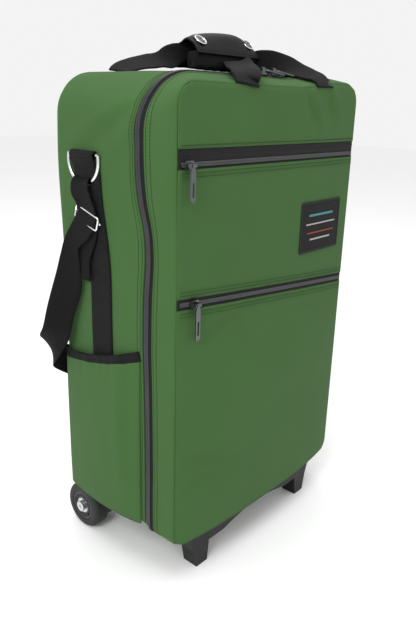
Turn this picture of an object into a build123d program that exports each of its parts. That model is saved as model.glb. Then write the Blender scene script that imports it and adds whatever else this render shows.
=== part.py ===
"""A softside upright suitcase on two wheels, built piece by piece.

Millimetres.  +X is the case's right as it is seen from the front, the front faces -Y and +Z is
up.  The origin is on the ground under the middle of the case.
"""
from build123d import *
import os
from math import asin, atan2, cos, degrees, radians, sin

os.makedirs("parts", exist_ok=True)

# ---- driving sizes ----
WIDTH = 356.0                 # 14 in
HALF = WIDTH / 2
FRONT_Y = -107.0
BACK_Y = 107.0
ZIP_Y = -62.0                 # where the front cover parts from the case
TOP_Z = 630.0
FRONT_TOP_Z = 620.0
BOTTOM_Z = 69.0
HINGE_Z = 62.0                # the cover's lower edge, which it folds about
CLOTH = 4.0                   # cloth with its foam backing
TOP_RADIUS = 62.0
FRONT_TOP_RADIUS = 25.0
BOTTOM_RADIUS = 8.0
BACK_RADIUS = 10.0
PARTING = 0.3                 # half of the clearance where two moving pieces face each other

WEBBING = 38.0
WEBBING_THICK = 2.2
FOLDED_WEBBING = 14.0         # the webbing bunched up inside the grip

WHEEL_X = 165.0
WHEEL_Y = 80.0
WHEEL_R = 33.5
WHEEL_WIDTH = 25.0
AXLE_R = 4.0
BEARING_R = 11.0
RUNNING = 0.05                # radial clearance of a running fit

TUBE_X = 62.0
TUBE_Y = 94.0
TUBE_WIDTH = 20.0
TUBE_DEPTH = 13.0
TUBE_WALL = 1.2
TUBE_FIT = 0.1
TUBE_BOTTOM_Z = 84.0
TUBE_TOP_Z = 600.0

LEFT = -1
RIGHT = 1
SIDES = ((LEFT, "left"), (RIGHT, "right"))
BACKWARD = (0, 1, 0)


def save(builder, name):
    """Label a finished piece and write it to its own file."""
    builder.part.label = name
    export_step(builder.part, f"parts/{name}.step")


def front_plane(y):
    """The plane at depth y, seen from the front: its own x is X and its own y is Z."""
    return Plane.XZ.offset(-y)


def case_outline(y, inset=0.0, top=TOP_Z, bottom=BOTTOM_Z, top_radius=TOP_RADIUS):
    """The case's outline seen from the front, at depth y and inset all round."""
    with BuildSketch(front_plane(y)) as outline:
        with Locations((0, (top + bottom) / 2)):
            Rectangle(WIDTH - 2 * inset, top - bottom - 2 * inset)
        fillet(outline.vertices().group_by(Axis.Y)[-1], top_radius - inset)
        fillet(outline.vertices().group_by(Axis.Y)[0], max(BOTTOM_RADIUS - inset, 1.0))
    return outline.sketch


def block(x, y, z, mode=Mode.ADD):
    """A box in the part being built, given by its low and high limit along each axis."""
    with Locations(((x[0] + x[1]) / 2, (y[0] + y[1]) / 2, (z[0] + z[1]) / 2)):
        Box(x[1] - x[0], y[1] - y[0], z[1] - z[0], mode=mode)


def mirrored(limits, side):
    """Limits along X that are given for the right side, on the side asked for."""
    return tuple(sorted((side * limits[0], side * limits[1])))


def band_sections(stations, last_direction=None):
    """Cross sections of a strap: (point, direction of its width, width) at each station."""
    points = [Vector(*point) for point, _, _ in stations]
    sections = []
    for i, (point, across, width) in enumerate(stations):
        ahead = points[min(i + 1, len(points) - 1)] - points[max(i - 1, 0)]
        if last_direction and i == len(points) - 1:
            ahead = last_direction
        with BuildSketch(Plane(origin=point, x_dir=across, z_dir=ahead)) as section:
            Rectangle(width, WEBBING_THICK)
        sections.append(section.sketch)
    return sections


# ---- the case's body ----
with BuildPart() as main_shell:
    extrude(case_outline(ZIP_Y), amount=BACK_Y - ZIP_Y, dir=BACKWARD)
    fillet(main_shell.faces().sort_by(Axis.Y)[-1].edges(), BACK_RADIUS)
    extrude(
        case_outline(ZIP_Y, inset=CLOTH),
        amount=BACK_Y - CLOTH - ZIP_Y,
        dir=BACKWARD,
        mode=Mode.SUBTRACT,
    )
    # the floor runs on under the cover, as far as the front panel
    block((-172, 172), (FRONT_Y + 4.6, ZIP_Y + 1), (BOTTOM_Z, BOTTOM_Z + CLOTH))
    # the slot in the top that the pull handle's cup stands in
    BEZEL_X = 92.0
    BEZEL_Y = (82.0, 102.8)
    block((-BEZEL_X, BEZEL_X), BEZEL_Y, (TOP_Z - 10, TOP_Z + 5), mode=Mode.SUBTRACT)
save(main_shell, "main_shell")

HOOP_INSET = CLOTH + 0.2
HOOP_THICK = 1.6
with BuildPart() as frame_hoop:
    extrude(case_outline(-58, inset=HOOP_INSET), amount=136, dir=BACKWARD)
    extrude(
        case_outline(-59, inset=HOOP_INSET + HOOP_THICK),
        amount=138,
        dir=BACKWARD,
        mode=Mode.SUBTRACT,
    )
save(frame_hoop, "frame_hoop")

LINING_INSET = HOOP_INSET + HOOP_THICK + 0.2
LINING_THICK = 0.8
LINING_BACK_Y = 81.0
with BuildPart() as lining:
    extrude(case_outline(-60, inset=LINING_INSET), amount=LINING_BACK_Y + 60, dir=BACKWARD)
    extrude(
        case_outline(-61, inset=LINING_INSET + LINING_THICK),
        amount=LINING_BACK_Y + 61 - LINING_THICK,
        dir=BACKWARD,
        mode=Mode.SUBTRACT,
    )
save(lining, "lining")

with BuildPart() as back_board:
    block((-164, 164), (100.8, 102.8), (78, 598))
    fillet(back_board.edges().filter_by(Axis.Y), 12)
save(back_board, "back_board")

# ---- the stand under the front, moulded in one piece with its two feet ----
FOOT_INNER_X = 105.8
FOOT_OUTER_X = 126.5
ARCH_X = 71.0
ARCH_Z = 31.0
ARCH_TOP_Z = 41.0
STAND_Y = (-102.0, -78.0)
with BuildPart() as front_stand:
    with BuildSketch(front_plane(STAND_Y[0])):
        with BuildLine():
            Polyline(
                (ARCH_X, ARCH_Z),
                (FOOT_INNER_X - 3.2, ARCH_Z),
                (FOOT_INNER_X, 0),
                (FOOT_OUTER_X, 0),
                (FOOT_OUTER_X + 5, 26),
                (FOOT_OUTER_X + 20, BOTTOM_Z),
                (-FOOT_OUTER_X - 20, BOTTOM_Z),
                (-FOOT_OUTER_X - 5, 26),
                (-FOOT_OUTER_X, 0),
                (-FOOT_INNER_X, 0),
                (-FOOT_INNER_X + 3.2, ARCH_Z),
                (-ARCH_X, ARCH_Z),
            )
            ThreePointArc((-ARCH_X, ARCH_Z), (0, ARCH_TOP_Z), (ARCH_X, ARCH_Z))
        make_face()
    extrude(amount=STAND_Y[1] - STAND_Y[0], dir=BACKWARD)
save(front_stand, "front_stand")

# ---- wheels, outside their housings under the back edge ----
HOUSING_X = (126.0, 151.0)
HOUSING_R = 28.0
AXLE_INNER_X = 128.0
AXLE_HEAD_X = (178.4, 181.0)
TREAD_X = (WHEEL_X - WHEEL_WIDTH / 2, WHEEL_X + WHEEL_WIDTH / 2)
HUB_R = 22.0
for side, side_name in SIDES:
    with BuildPart() as wheel_housing:
        with Locations(Location((side * sum(HOUSING_X) / 2, WHEEL_Y, WHEEL_R), (0, 90, 0))):
            Cylinder(HOUSING_R, HOUSING_X[1] - HOUSING_X[0])
        block(mirrored(HOUSING_X, side), (WHEEL_Y - 26, WHEEL_Y + 26), (WHEEL_R, BOTTOM_Z))
        block(mirrored((96, HOUSING_X[1]), side), (WHEEL_Y - 34, WHEEL_Y + 24), (64, BOTTOM_Z))
        with Locations(Location((side * 140, WHEEL_Y, WHEEL_R), (0, 90, 0))):
            Cylinder(AXLE_R + RUNNING, 60, mode=Mode.SUBTRACT)
    save(wheel_housing, f"wheel_housing_{side_name}")

    with BuildPart() as axle:
        shank = (AXLE_INNER_X, AXLE_HEAD_X[0])
        head = AXLE_HEAD_X
        with Locations(Location((side * sum(shank) / 2, WHEEL_Y, WHEEL_R), (0, 90, 0))):
            Cylinder(AXLE_R, shank[1] - shank[0])
        with Locations(Location((side * sum(head) / 2, WHEEL_Y, WHEEL_R), (0, 90, 0))):
            Cylinder(7.5, head[1] - head[0])
        with Locations(Location((side * head[1], WHEEL_Y, WHEEL_R), (0, 90, 0))):
            Cylinder(2.5, 3, mode=Mode.SUBTRACT)
    save(axle, f"axle_{side_name}")

    with BuildPart() as tyre:
        with Locations(Location((side * WHEEL_X, WHEEL_Y, WHEEL_R), (0, 90, 0))):
            Cylinder(WHEEL_R, WHEEL_WIDTH)
        fillet(tyre.edges(), 6)
        with Locations(Location((side * WHEEL_X, WHEEL_Y, WHEEL_R), (0, 90, 0))):
            Cylinder(HUB_R, WHEEL_WIDTH, mode=Mode.SUBTRACT)
    save(tyre, f"tyre_{side_name}")

    with BuildPart() as hub:
        with Locations(Location((side * WHEEL_X, WHEEL_Y, WHEEL_R), (0, 90, 0))):
            Cylinder(HUB_R, WHEEL_WIDTH - 2)
            Cylinder(BEARING_R, WHEEL_WIDTH, mode=Mode.SUBTRACT)
    save(hub, f"hub_{side_name}")

    with BuildPart() as bearings:
        for x in (TREAD_X[0] + 4.6, TREAD_X[1] - 4.6):
            with Locations(Location((side * x, WHEEL_Y, WHEEL_R), (0, 90, 0))):
                Cylinder(BEARING_R, 7)
                Cylinder(AXLE_R + RUNNING, 7, mode=Mode.SUBTRACT)
    save(bearings, f"bearings_{side_name}")

with BuildPart() as base_screws:
    STAND_SCREW_X = (-117, 117)
    HOUSING_SCREWS = ((104, 87), (104, 98), (118, 98))
    places = [(x, -90) for x in STAND_SCREW_X]
    places += [(side * x, y) for side, _ in SIDES for x, y in HOUSING_SCREWS]
    for x, y in places:
        with Locations((x, y, BOTTOM_Z + CLOTH + 0.55)):
            Cylinder(3.5, 1.1)
save(base_screws, "base_screws")

# ---- the telescoping pull handle inside the back ----
INNER_WIDTH = TUBE_WIDTH - 2 * (TUBE_WALL + TUBE_FIT)
INNER_DEPTH = TUBE_DEPTH - 2 * (TUBE_WALL + TUBE_FIT)
INNER_WALL = 1.1
INNER_BOTTOM_Z = 98.0
GRIP_BOTTOM_Z = 610.0
GRIP_TOP_Z = 632.0
PLUG_TOP_Z = 112.0


def tube(bottom, top, width, depth, wall, x):
    """A rounded flat tube standing at x."""
    with BuildPart() as pipe:
        with BuildSketch(Plane.XY.offset(bottom)):
            with Locations((x, TUBE_Y)):
                RectangleRounded(width, depth, 3)
                RectangleRounded(width - 2 * wall, depth - 2 * wall, 3 - wall, mode=Mode.SUBTRACT)
        extrude(amount=top - bottom)
    return pipe


for side, side_name in SIDES:
    outer_tube = tube(TUBE_BOTTOM_Z, TUBE_TOP_Z, TUBE_WIDTH, TUBE_DEPTH, TUBE_WALL, side * TUBE_X)
    save(outer_tube, f"outer_tube_{side_name}")
    inner_tube = tube(
        INNER_BOTTOM_Z, GRIP_BOTTOM_Z + 4, INNER_WIDTH, INNER_DEPTH, INNER_WALL, side * TUBE_X
    )
    save(inner_tube, f"inner_tube_{side_name}")

with BuildPart() as tube_bracket:
    block((-80, 80), (86, 100.6), (BOTTOM_Z + CLOTH, TUBE_BOTTOM_Z + 8))
    with BuildSketch(Plane.XY.offset(TUBE_BOTTOM_Z)):
        with Locations((-TUBE_X, TUBE_Y), (TUBE_X, TUBE_Y)):
            RectangleRounded(TUBE_WIDTH, TUBE_DEPTH, 3)
    extrude(amount=20, mode=Mode.SUBTRACT)
save(tube_bracket, "tube_bracket")

CUP_FLOOR_Z = (TUBE_TOP_Z, TUBE_TOP_Z + 6)
GRIP_X = 80.0
GRIP_Y = (87.4, 100.0)
with BuildPart() as handle_bezel:
    block((-BEZEL_X, BEZEL_X), BEZEL_Y, (CUP_FLOOR_Z[0], TOP_Z))
    block((-BEZEL_X - 3, BEZEL_X + 3), (79.5, 105), (TOP_Z, TOP_Z + 1.6))
    block(
        (-GRIP_X - 1.5, GRIP_X + 1.5),
        (GRIP_Y[0] - 1.2, GRIP_Y[1] + 1.2),
        (CUP_FLOOR_Z[1], TOP_Z + 5),
        mode=Mode.SUBTRACT,
    )
    with BuildSketch(Plane.XY.offset(CUP_FLOOR_Z[0] - 1)):
        with Locations((-TUBE_X, TUBE_Y), (TUBE_X, TUBE_Y)):
            RectangleRounded(INNER_WIDTH + 2 * TUBE_FIT, INNER_DEPTH + 2 * TUBE_FIT, 2)
    extrude(amount=10, mode=Mode.SUBTRACT)
save(handle_bezel, "handle_bezel")

BUTTON_X = 18.0
BUTTON_Y = (90.0, 97.6)
CHAMBER_X = 71.0
CHAMBER_Z = (GRIP_BOTTOM_Z + 4, GRIP_TOP_Z - 5)
with BuildPart() as pull_grip:
    block((-GRIP_X, GRIP_X), GRIP_Y, (GRIP_BOTTOM_Z, GRIP_TOP_Z))
    fillet(pull_grip.edges().filter_by(Axis.Y), 4)
    block((-CHAMBER_X, CHAMBER_X), (89.6, 98.0), CHAMBER_Z, mode=Mode.SUBTRACT)
    block(
        (-BUTTON_X - RUNNING, BUTTON_X + RUNNING),
        (BUTTON_Y[0] - RUNNING, BUTTON_Y[1] + RUNNING),
        (CHAMBER_Z[1] - 1, GRIP_TOP_Z + 1),
        mode=Mode.SUBTRACT,
    )
    with BuildSketch(Plane.XY.offset(GRIP_BOTTOM_Z - 1)):
        with Locations((-TUBE_X, TUBE_Y), (TUBE_X, TUBE_Y)):
            RectangleRounded(INNER_WIDTH, INNER_DEPTH, 2)
    extrude(amount=5.1, mode=Mode.SUBTRACT)
save(pull_grip, "pull_grip")

with BuildPart() as release_button:
    block((-BUTTON_X, BUTTON_X), BUTTON_Y, (CHAMBER_Z[1] - 4, GRIP_TOP_Z + 1.5))
    fillet(release_button.faces().sort_by(Axis.Z)[-1].edges(), 1.2)
save(release_button, "release_button")

ROD_R = 1.6
ROD_BOTTOM_Z = PLUG_TOP_Z + 6
CROSSBAR_Z = (CHAMBER_Z[1] - 8, CHAMBER_Z[1] - 4)
with BuildPart() as push_rods:
    block((-66, 66), (91.5, 96.5), CROSSBAR_Z)
    for side, _ in SIDES:
        with Locations((side * TUBE_X, TUBE_Y, (ROD_BOTTOM_Z + CROSSBAR_Z[0]) / 2)):
            Cylinder(ROD_R, CROSSBAR_Z[0] - ROD_BOTTOM_Z)
save(push_rods, "push_rods")

with BuildPart() as lock_plugs:
    for side, _ in SIDES:
        with BuildSketch(Plane.XY.offset(INNER_BOTTOM_Z)):
            with Locations((side * TUBE_X, TUBE_Y)):
                RectangleRounded(
                    INNER_WIDTH - 2 * INNER_WALL - 0.1, INNER_DEPTH - 2 * INNER_WALL - 0.1, 2
                )
        extrude(amount=PLUG_TOP_Z - INNER_BOTTOM_Z)
        with BuildSketch(Plane.XY.offset(INNER_BOTTOM_Z - 6)):
            with Locations((side * TUBE_X, TUBE_Y)):
                RectangleRounded(INNER_WIDTH, INNER_DEPTH, 2)
        extrude(amount=6)
save(lock_plugs, "lock_plugs")

# ---- the main zipper: one tape and coil on the case, one on the cover ----
TAPE_PROUD = 1.0
COIL_PROUD = 2.2
TAPE_DEPTH = 7.5
COIL_DEPTH = 3.0


def zipper_half(tape_y, coil_y, bottom):
    """Tape and coil round both sides and the top, between two depths each."""
    with BuildPart() as zipper:
        for (near, far), proud in ((tape_y, TAPE_PROUD), (coil_y, COIL_PROUD)):
            extrude(case_outline(near, inset=-proud, bottom=bottom), amount=far - near, dir=BACKWARD)
        extrude(case_outline(-80, bottom=bottom), amount=40, dir=BACKWARD, mode=Mode.SUBTRACT)
        block((-HALF + 4, HALF - 4), (-80, -40), (bottom - 10, bottom + 10), mode=Mode.SUBTRACT)
    return zipper


zipper_rear = zipper_half((ZIP_Y, ZIP_Y + TAPE_DEPTH), (ZIP_Y, ZIP_Y + COIL_DEPTH), BOTTOM_Z)
save(zipper_rear, "zipper_rear")
COVER_Y = ZIP_Y - PARTING
zipper_front = zipper_half((COVER_Y - TAPE_DEPTH, COVER_Y), (COVER_Y - COIL_DEPTH, COVER_Y), HINGE_Z)
save(zipper_front, "zipper_front")

# ---- the front cover: gusset, front panel and pockets ----
STRAIGHT_Y = COVER_Y - TAPE_DEPTH - 0.5
with BuildPart() as cover_shell:
    for inset, mode in ((0.0, Mode.ADD), (CLOTH, Mode.SUBTRACT)):
        front_y = FRONT_Y + inset
        extrude(
            case_outline(STRAIGHT_Y, inset=inset, bottom=HINGE_Z),
            amount=COVER_Y - STRAIGHT_Y + inset,
            dir=BACKWARD,
            mode=mode,
        )
        rear_outline = case_outline(STRAIGHT_Y, inset=inset, bottom=HINGE_Z)
        front_outline = case_outline(
            front_y, inset=inset, top=FRONT_TOP_Z, bottom=HINGE_Z, top_radius=FRONT_TOP_RADIUS
        )
        loft(sections=[rear_outline, front_outline], mode=mode)
    # open underneath, so that the case's floor and the stand stay behind it
    block(
        (-HALF + CLOTH, HALF - CLOTH),
        (FRONT_Y + CLOTH, ZIP_Y + 1),
        (HINGE_Z - 5, BOTTOM_Z + CLOTH + 1),
        mode=Mode.SUBTRACT,
    )
save(cover_shell, "cover_shell")

SHEET = 2.0
UPPER_ZIP_Z = (530.0, 552.0)
LOWER_ZIP_LEFT_Z = 383.5
LOWER_ZIP_RIGHT_Z = 353.0
LOWER_ZIP_X = 174.0
LOWER_SLOPE = atan2(LOWER_ZIP_RIGHT_Z - LOWER_ZIP_LEFT_Z, 2 * LOWER_ZIP_X)
LOWER_BAND = 14.0
PANEL_X = 175.0


def lower_zip_z(x):
    """The height of the lower pocket's zipper at x."""
    share = (x + LOWER_ZIP_X) / (2 * LOWER_ZIP_X)
    return LOWER_ZIP_LEFT_Z + share * (LOWER_ZIP_RIGHT_Z - LOWER_ZIP_LEFT_Z)


def panel_sheet(bottom_left, bottom_right, top_left, top_right, thick, half_width):
    """A flat cloth panel on the front, with sloping edges, thick mm deep."""
    with BuildPart() as sheet:
        with BuildSketch(front_plane(FRONT_Y)):
            Polygon(
                (-half_width, bottom_left),
                (half_width, bottom_right),
                (half_width, top_right),
                (-half_width, top_left),
                align=None,
            )
        extrude(amount=thick)
    return sheet


half_band = LOWER_BAND / 2
upper_pocket = panel_sheet(
    LOWER_ZIP_LEFT_Z + half_band,
    LOWER_ZIP_RIGHT_Z + half_band,
    UPPER_ZIP_Z[0],
    UPPER_ZIP_Z[0],
    SHEET,
    PANEL_X,
)
save(upper_pocket, "upper_pocket")

POCKET_BULGE = 14.1
SLOPE_FOOT_Z = 330.0
SLOPE_HEAD_Z = 250.0
lower_sheet = panel_sheet(
    HINGE_Z,
    HINGE_Z,
    LOWER_ZIP_LEFT_Z - half_band,
    LOWER_ZIP_RIGHT_Z - half_band,
    SHEET,
    PANEL_X,
)
with BuildPart() as lower_pocket:
    add(lower_sheet.part)
    with BuildSketch(Plane.XY.offset(HINGE_Z)):
        with BuildLine():
            Line((-PANEL_X, FRONT_Y - 1), (PANEL_X, FRONT_Y - 1))
            ThreePointArc(
                (PANEL_X, FRONT_Y - 1), (0, FRONT_Y - POCKET_BULGE), (-PANEL_X, FRONT_Y - 1)
            )
        make_face()
    extrude(amount=SLOPE_FOOT_Z - HINGE_Z)
    # the bulge dies away below the pocket's zipper
    with BuildSketch(Plane.YZ.offset(-HALF)):
        Polygon(
            (FRONT_Y - SHEET, SLOPE_FOOT_Z),
            (FRONT_Y - POCKET_BULGE - 5, SLOPE_HEAD_Z - 30),
            (FRONT_Y - POCKET_BULGE - 5, SLOPE_FOOT_Z),
            align=None,
        )
    extrude(amount=WIDTH, mode=Mode.SUBTRACT)
save(lower_pocket, "lower_pocket")

COIL_BAND = 4.0
COIL_OUT = 1.4
with BuildPart() as upper_zipper:
    block((-PANEL_X, PANEL_X), (FRONT_Y - SHEET, FRONT_Y), UPPER_ZIP_Z)
    coil_z = 535.5
    block(
        (-PANEL_X + 2, PANEL_X - 2),
        (FRONT_Y - SHEET - COIL_OUT, FRONT_Y - SHEET),
        (coil_z - COIL_BAND / 2, coil_z + COIL_BAND / 2),
    )
save(upper_zipper, "upper_zipper")

lower_tape = panel_sheet(
    LOWER_ZIP_LEFT_Z - half_band,
    LOWER_ZIP_RIGHT_Z - half_band,
    LOWER_ZIP_LEFT_Z + half_band,
    LOWER_ZIP_RIGHT_Z + half_band,
    SHEET,
    PANEL_X,
)
lower_coil = panel_sheet(
    LOWER_ZIP_LEFT_Z - COIL_BAND / 2,
    LOWER_ZIP_RIGHT_Z - COIL_BAND / 2,
    LOWER_ZIP_LEFT_Z + COIL_BAND / 2,
    LOWER_ZIP_RIGHT_Z + COIL_BAND / 2,
    SHEET + COIL_OUT,
    PANEL_X - 2,
)
with BuildPart() as lower_zipper:
    add(lower_tape.part)
    add(lower_coil.part)
save(lower_zipper, "lower_zipper")

LABEL_X = 101.0
LABEL_Z = 441.0
with BuildPart() as label_patch:
    block(
        (LABEL_X - 47.5, LABEL_X + 47.5),
        (FRONT_Y - SHEET - 1.2, FRONT_Y - SHEET),
        (LABEL_Z - 33, LABEL_Z + 33),
    )
save(label_patch, "label_patch")

# ---- sliders and their pulls ----
PLATE_GAP = 0.6
PLATE_THICK = 1.8
PLATE_HALF = 6.5
PIN_OUT = 4.6                 # from the plate's face to the pin's axis
PIN_R = 1.0
EYE_R = 2.4
EYE_HALF = 2.8
EAR_X = (3.2, 4.4)
TAB_THICK = 1.8
TAB_HALF = 3.6


def slider_pair(frame, pull_frame, pull_length):
    """A slider and its pull.  frame: z out of the cloth from the coil's face, x along the pin.

    pull_frame has the same origin and x, and its y points the way the pull lies or hangs.
    """
    pin_z = PLATE_GAP + PLATE_THICK + PIN_OUT
    with BuildPart() as slider:
        with BuildSketch(frame.offset(PLATE_GAP)):
            RectangleRounded(2 * PLATE_HALF, 9, 2)
        extrude(amount=PLATE_THICK)
        with BuildSketch(frame.offset(PLATE_GAP + PLATE_THICK)):
            with Locations((sum(EAR_X) / 2, 0), (-sum(EAR_X) / 2, 0)):
                Rectangle(EAR_X[1] - EAR_X[0], 4)
        extrude(amount=PIN_OUT + 1.6)
        pin_start = Plane(frame.from_local_coords((-EAR_X[1], 0, pin_z)), z_dir=frame.x_dir)
        with BuildSketch(pin_start):
            Circle(PIN_R)
        extrude(amount=2 * EAR_X[1])
    eye_origin = frame.from_local_coords((-EYE_HALF, 0, pin_z))
    with BuildPart() as pull:
        with BuildSketch(Plane(eye_origin, z_dir=frame.x_dir)):
            Circle(EYE_R)
        extrude(amount=2 * EYE_HALF)
        tab_plane = Plane(
            frame.from_local_coords((0, 0, pin_z)), x_dir=pull_frame.x_dir, z_dir=pull_frame.z_dir
        )
        with BuildSketch(tab_plane.offset(-TAB_THICK / 2)):
            with Locations((0, (EYE_R + 3) / 2)):
                Rectangle(2 * EYE_HALF, EYE_R + 3)
            with Locations((0, (5 + pull_length) / 2)):
                RectangleRounded(2 * TAB_HALF, pull_length - 5, 2)
            with Locations((0, 5 + (pull_length - 5) * 0.62)):
                SlotOverall(pull_length * 0.4, 3, rotation=90, mode=Mode.SUBTRACT)
        extrude(amount=TAB_THICK)
        with BuildSketch(Plane(eye_origin, z_dir=frame.x_dir)):
            Circle(PIN_R + 0.08)
        extrude(amount=2 * EYE_HALF, mode=Mode.SUBTRACT)
    return slider, pull


COIL_FACE_Y = FRONT_Y - SHEET - COIL_OUT
UPPER_SLIDER = (-164.0, COIL_FACE_Y, 535.5)
LOWER_SLIDER_X = -152.0
LOWER_SLIDER = (LOWER_SLIDER_X, COIL_FACE_Y, lower_zip_z(LOWER_SLIDER_X))
for name, place, pull_length in (
    ("upper", UPPER_SLIDER, 38.0),
    ("lower", LOWER_SLIDER, 42.0),
):
    # the pin lies along X and the pull hangs straight down
    frame = Plane(place, x_dir=(-1, 0, 0), z_dir=(0, -1, 0))
    slider, pull = slider_pair(frame, frame, pull_length)
    save(slider, f"{name}_slider")
    save(pull, f"{name}_pull")

MAIN_COIL_TOP_Z = TOP_Z + COIL_PROUD
MAIN_SLIDER_X = (18.0, 40.0)
MAIN_PULL_LENGTH = 30.0
MAIN_PULL_TURN = radians(-30)     # seen from above, from +X towards the front
MAIN_PULL_DROOP = radians(12)
for number, x in enumerate(MAIN_SLIDER_X, start=1):
    place = (x, ZIP_Y, MAIN_COIL_TOP_Z)
    level = (cos(MAIN_PULL_TURN), sin(MAIN_PULL_TURN), 0)
    across = (sin(MAIN_PULL_TURN), -cos(MAIN_PULL_TURN), 0)
    frame = Plane(place, x_dir=across, z_dir=(0, 0, 1))
    droop_up = (
        level[0] * sin(MAIN_PULL_DROOP), level[1] * sin(MAIN_PULL_DROOP), cos(MAIN_PULL_DROOP)
    )
    lying = Plane(place, x_dir=across, z_dir=droop_up)
    slider, pull = slider_pair(frame, lying, MAIN_PULL_LENGTH)
    save(slider, f"main_slider_{number}")
    save(pull, f"main_pull_{number}")

# ---- the carry handles and the padded grip that holds them together ----
LEG_X = (-69.0, 91.0)
GRIP_SPAN = (-60.0, 54.0)
FRONT_BAND = (-14.0, 644.0)       # where the front webbing runs inside the grip: y, z
REAR_BAND = (13.0, 656.5)
with BuildPart() as front_handle:
    band_y, band_z = FRONT_BAND
    front_route = [
        ((LEG_X[1], -104, 622.6), (-1, 0, 0), WEBBING),
        ((LEG_X[1], -78, 631.4), (-1, 0, 0), WEBBING),
        ((LEG_X[1] - 8, -54, 644), (-0.8, 0, 0.6), WEBBING),
        ((GRIP_SPAN[1] + 14, -26, 648), (-0.4, 0.1, 0.9), 30),
        ((GRIP_SPAN[1] + 1, band_y, band_z), (0, 0, 1), FOLDED_WEBBING),
        ((GRIP_SPAN[0] - 1, band_y, band_z), (0, 0, 1), FOLDED_WEBBING),
        ((GRIP_SPAN[0] - 8, -32, 645), (0.7, 0.1, 0.7), 30),
        ((LEG_X[0] + 1, -56, 641), (0.95, 0.1, 0.3), WEBBING),
        ((LEG_X[0], -78, 631.4), (1, 0, 0), WEBBING),
        ((LEG_X[0], -104, 622.6), (1, 0, 0), WEBBING),
    ]
    loft(sections=band_sections(front_route), ruled=True)
save(front_handle, "front_handle")

REAR_LEG_X = 118.0
with BuildPart() as rear_handle:
    band_y, band_z = REAR_BAND
    rear_route = [
        ((-REAR_LEG_X, 62, TOP_Z + 5.4), (-1, 0, 0), WEBBING),
        ((-REAR_LEG_X + 3, 40, TOP_Z + 7), (-1, 0, 0.2), WEBBING),
        ((-REAR_LEG_X + 22, 26, TOP_Z + 22), (-0.6, 0.1, 0.8), WEBBING),
        ((GRIP_SPAN[0] - 10, 17, 652), (-0.2, 0.1, 1), 32),
        ((GRIP_SPAN[0], band_y, band_z), (0, 0, 1), 26),
        ((GRIP_SPAN[1], band_y, band_z), (0, 0, 1), 26),
        ((GRIP_SPAN[1] + 10, 17, 652), (0.2, 0.1, 1), 32),
        ((REAR_LEG_X - 22, 26, TOP_Z + 22), (0.6, 0.1, 0.8), WEBBING),
        ((REAR_LEG_X - 3, 40, TOP_Z + 7), (1, 0, 0.2), WEBBING),
        ((REAR_LEG_X, 62, TOP_Z + 5.4), (1, 0, 0), WEBBING),
    ]
    loft(sections=band_sections(rear_route), ruled=True)
save(rear_handle, "rear_handle")

SLEEVE_Y = (-25.0, -4.0)
SLEEVE_Z = (635.5, 652.5)
with BuildPart() as grip_sleeve:
    block((GRIP_SPAN[0] + 1, GRIP_SPAN[1] - 1), SLEEVE_Y, SLEEVE_Z)
    fillet(grip_sleeve.edges().filter_by(Axis.X), 5)
    block(
        (GRIP_SPAN[0], GRIP_SPAN[1]),
        (FRONT_BAND[0] - 1.3, FRONT_BAND[0] + 1.3),
        (FRONT_BAND[1] - FOLDED_WEBBING / 2 - 0.2, FRONT_BAND[1] + FOLDED_WEBBING / 2 + 0.2),
        mode=Mode.SUBTRACT,
    )
save(grip_sleeve, "grip_sleeve")

FLAP_HINGE = (21.0, 676.0)        # y, z
FLAP_THICK = 2.4
with BuildPart() as grip_back:
    block(
        (GRIP_SPAN[0] + 1, GRIP_SPAN[1] - 1),
        (REAR_BAND[0] + 1.4, REAR_BAND[0] + 5.4),
        (638, FLAP_HINGE[1] - 4.6),
    )
save(grip_back, "grip_back")

FLAP_EDGE = (-28.0, 655.0)
with BuildPart() as grip_flap:
    with BuildSketch(Plane.YZ.offset(GRIP_SPAN[0] - 2)):
        Polygon(
            (FLAP_HINGE[0], FLAP_HINGE[1] - FLAP_THICK),
            (FLAP_HINGE[0], FLAP_HINGE[1]),
            (4, FLAP_HINGE[1]),
            (FLAP_EDGE[0], FLAP_EDGE[1] + FLAP_THICK / 2),
            (FLAP_EDGE[0] + 1, FLAP_EDGE[1] - FLAP_THICK / 2),
            (5, FLAP_HINGE[1] - FLAP_THICK),
            align=None,
        )
    extrude(amount=GRIP_SPAN[1] - GRIP_SPAN[0] + 4)
save(grip_flap, "grip_flap")

SNAP_X = (-48.0, 42.0)
SNAP_R = 9.5
flap_slope = Vector(0, FLAP_EDGE[0] - 4, FLAP_EDGE[1] + FLAP_THICK / 2 - FLAP_HINGE[1]).normalized()
flap_normal = Vector(1, 0, 0).cross(flap_slope) * -1
if flap_normal.Z < 0:
    flap_normal = flap_normal * -1
with BuildPart() as snap_caps:
    for x in SNAP_X:
        middle = Vector(x, (4 + FLAP_EDGE[0]) / 2, (FLAP_HINGE[1] + FLAP_EDGE[1] + FLAP_THICK / 2) / 2)
        with BuildSketch(Plane(middle, x_dir=(1, 0, 0), z_dir=flap_normal)):
            Circle(SNAP_R)
        extrude(amount=1.8)
save(snap_caps, "snap_caps")

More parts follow.
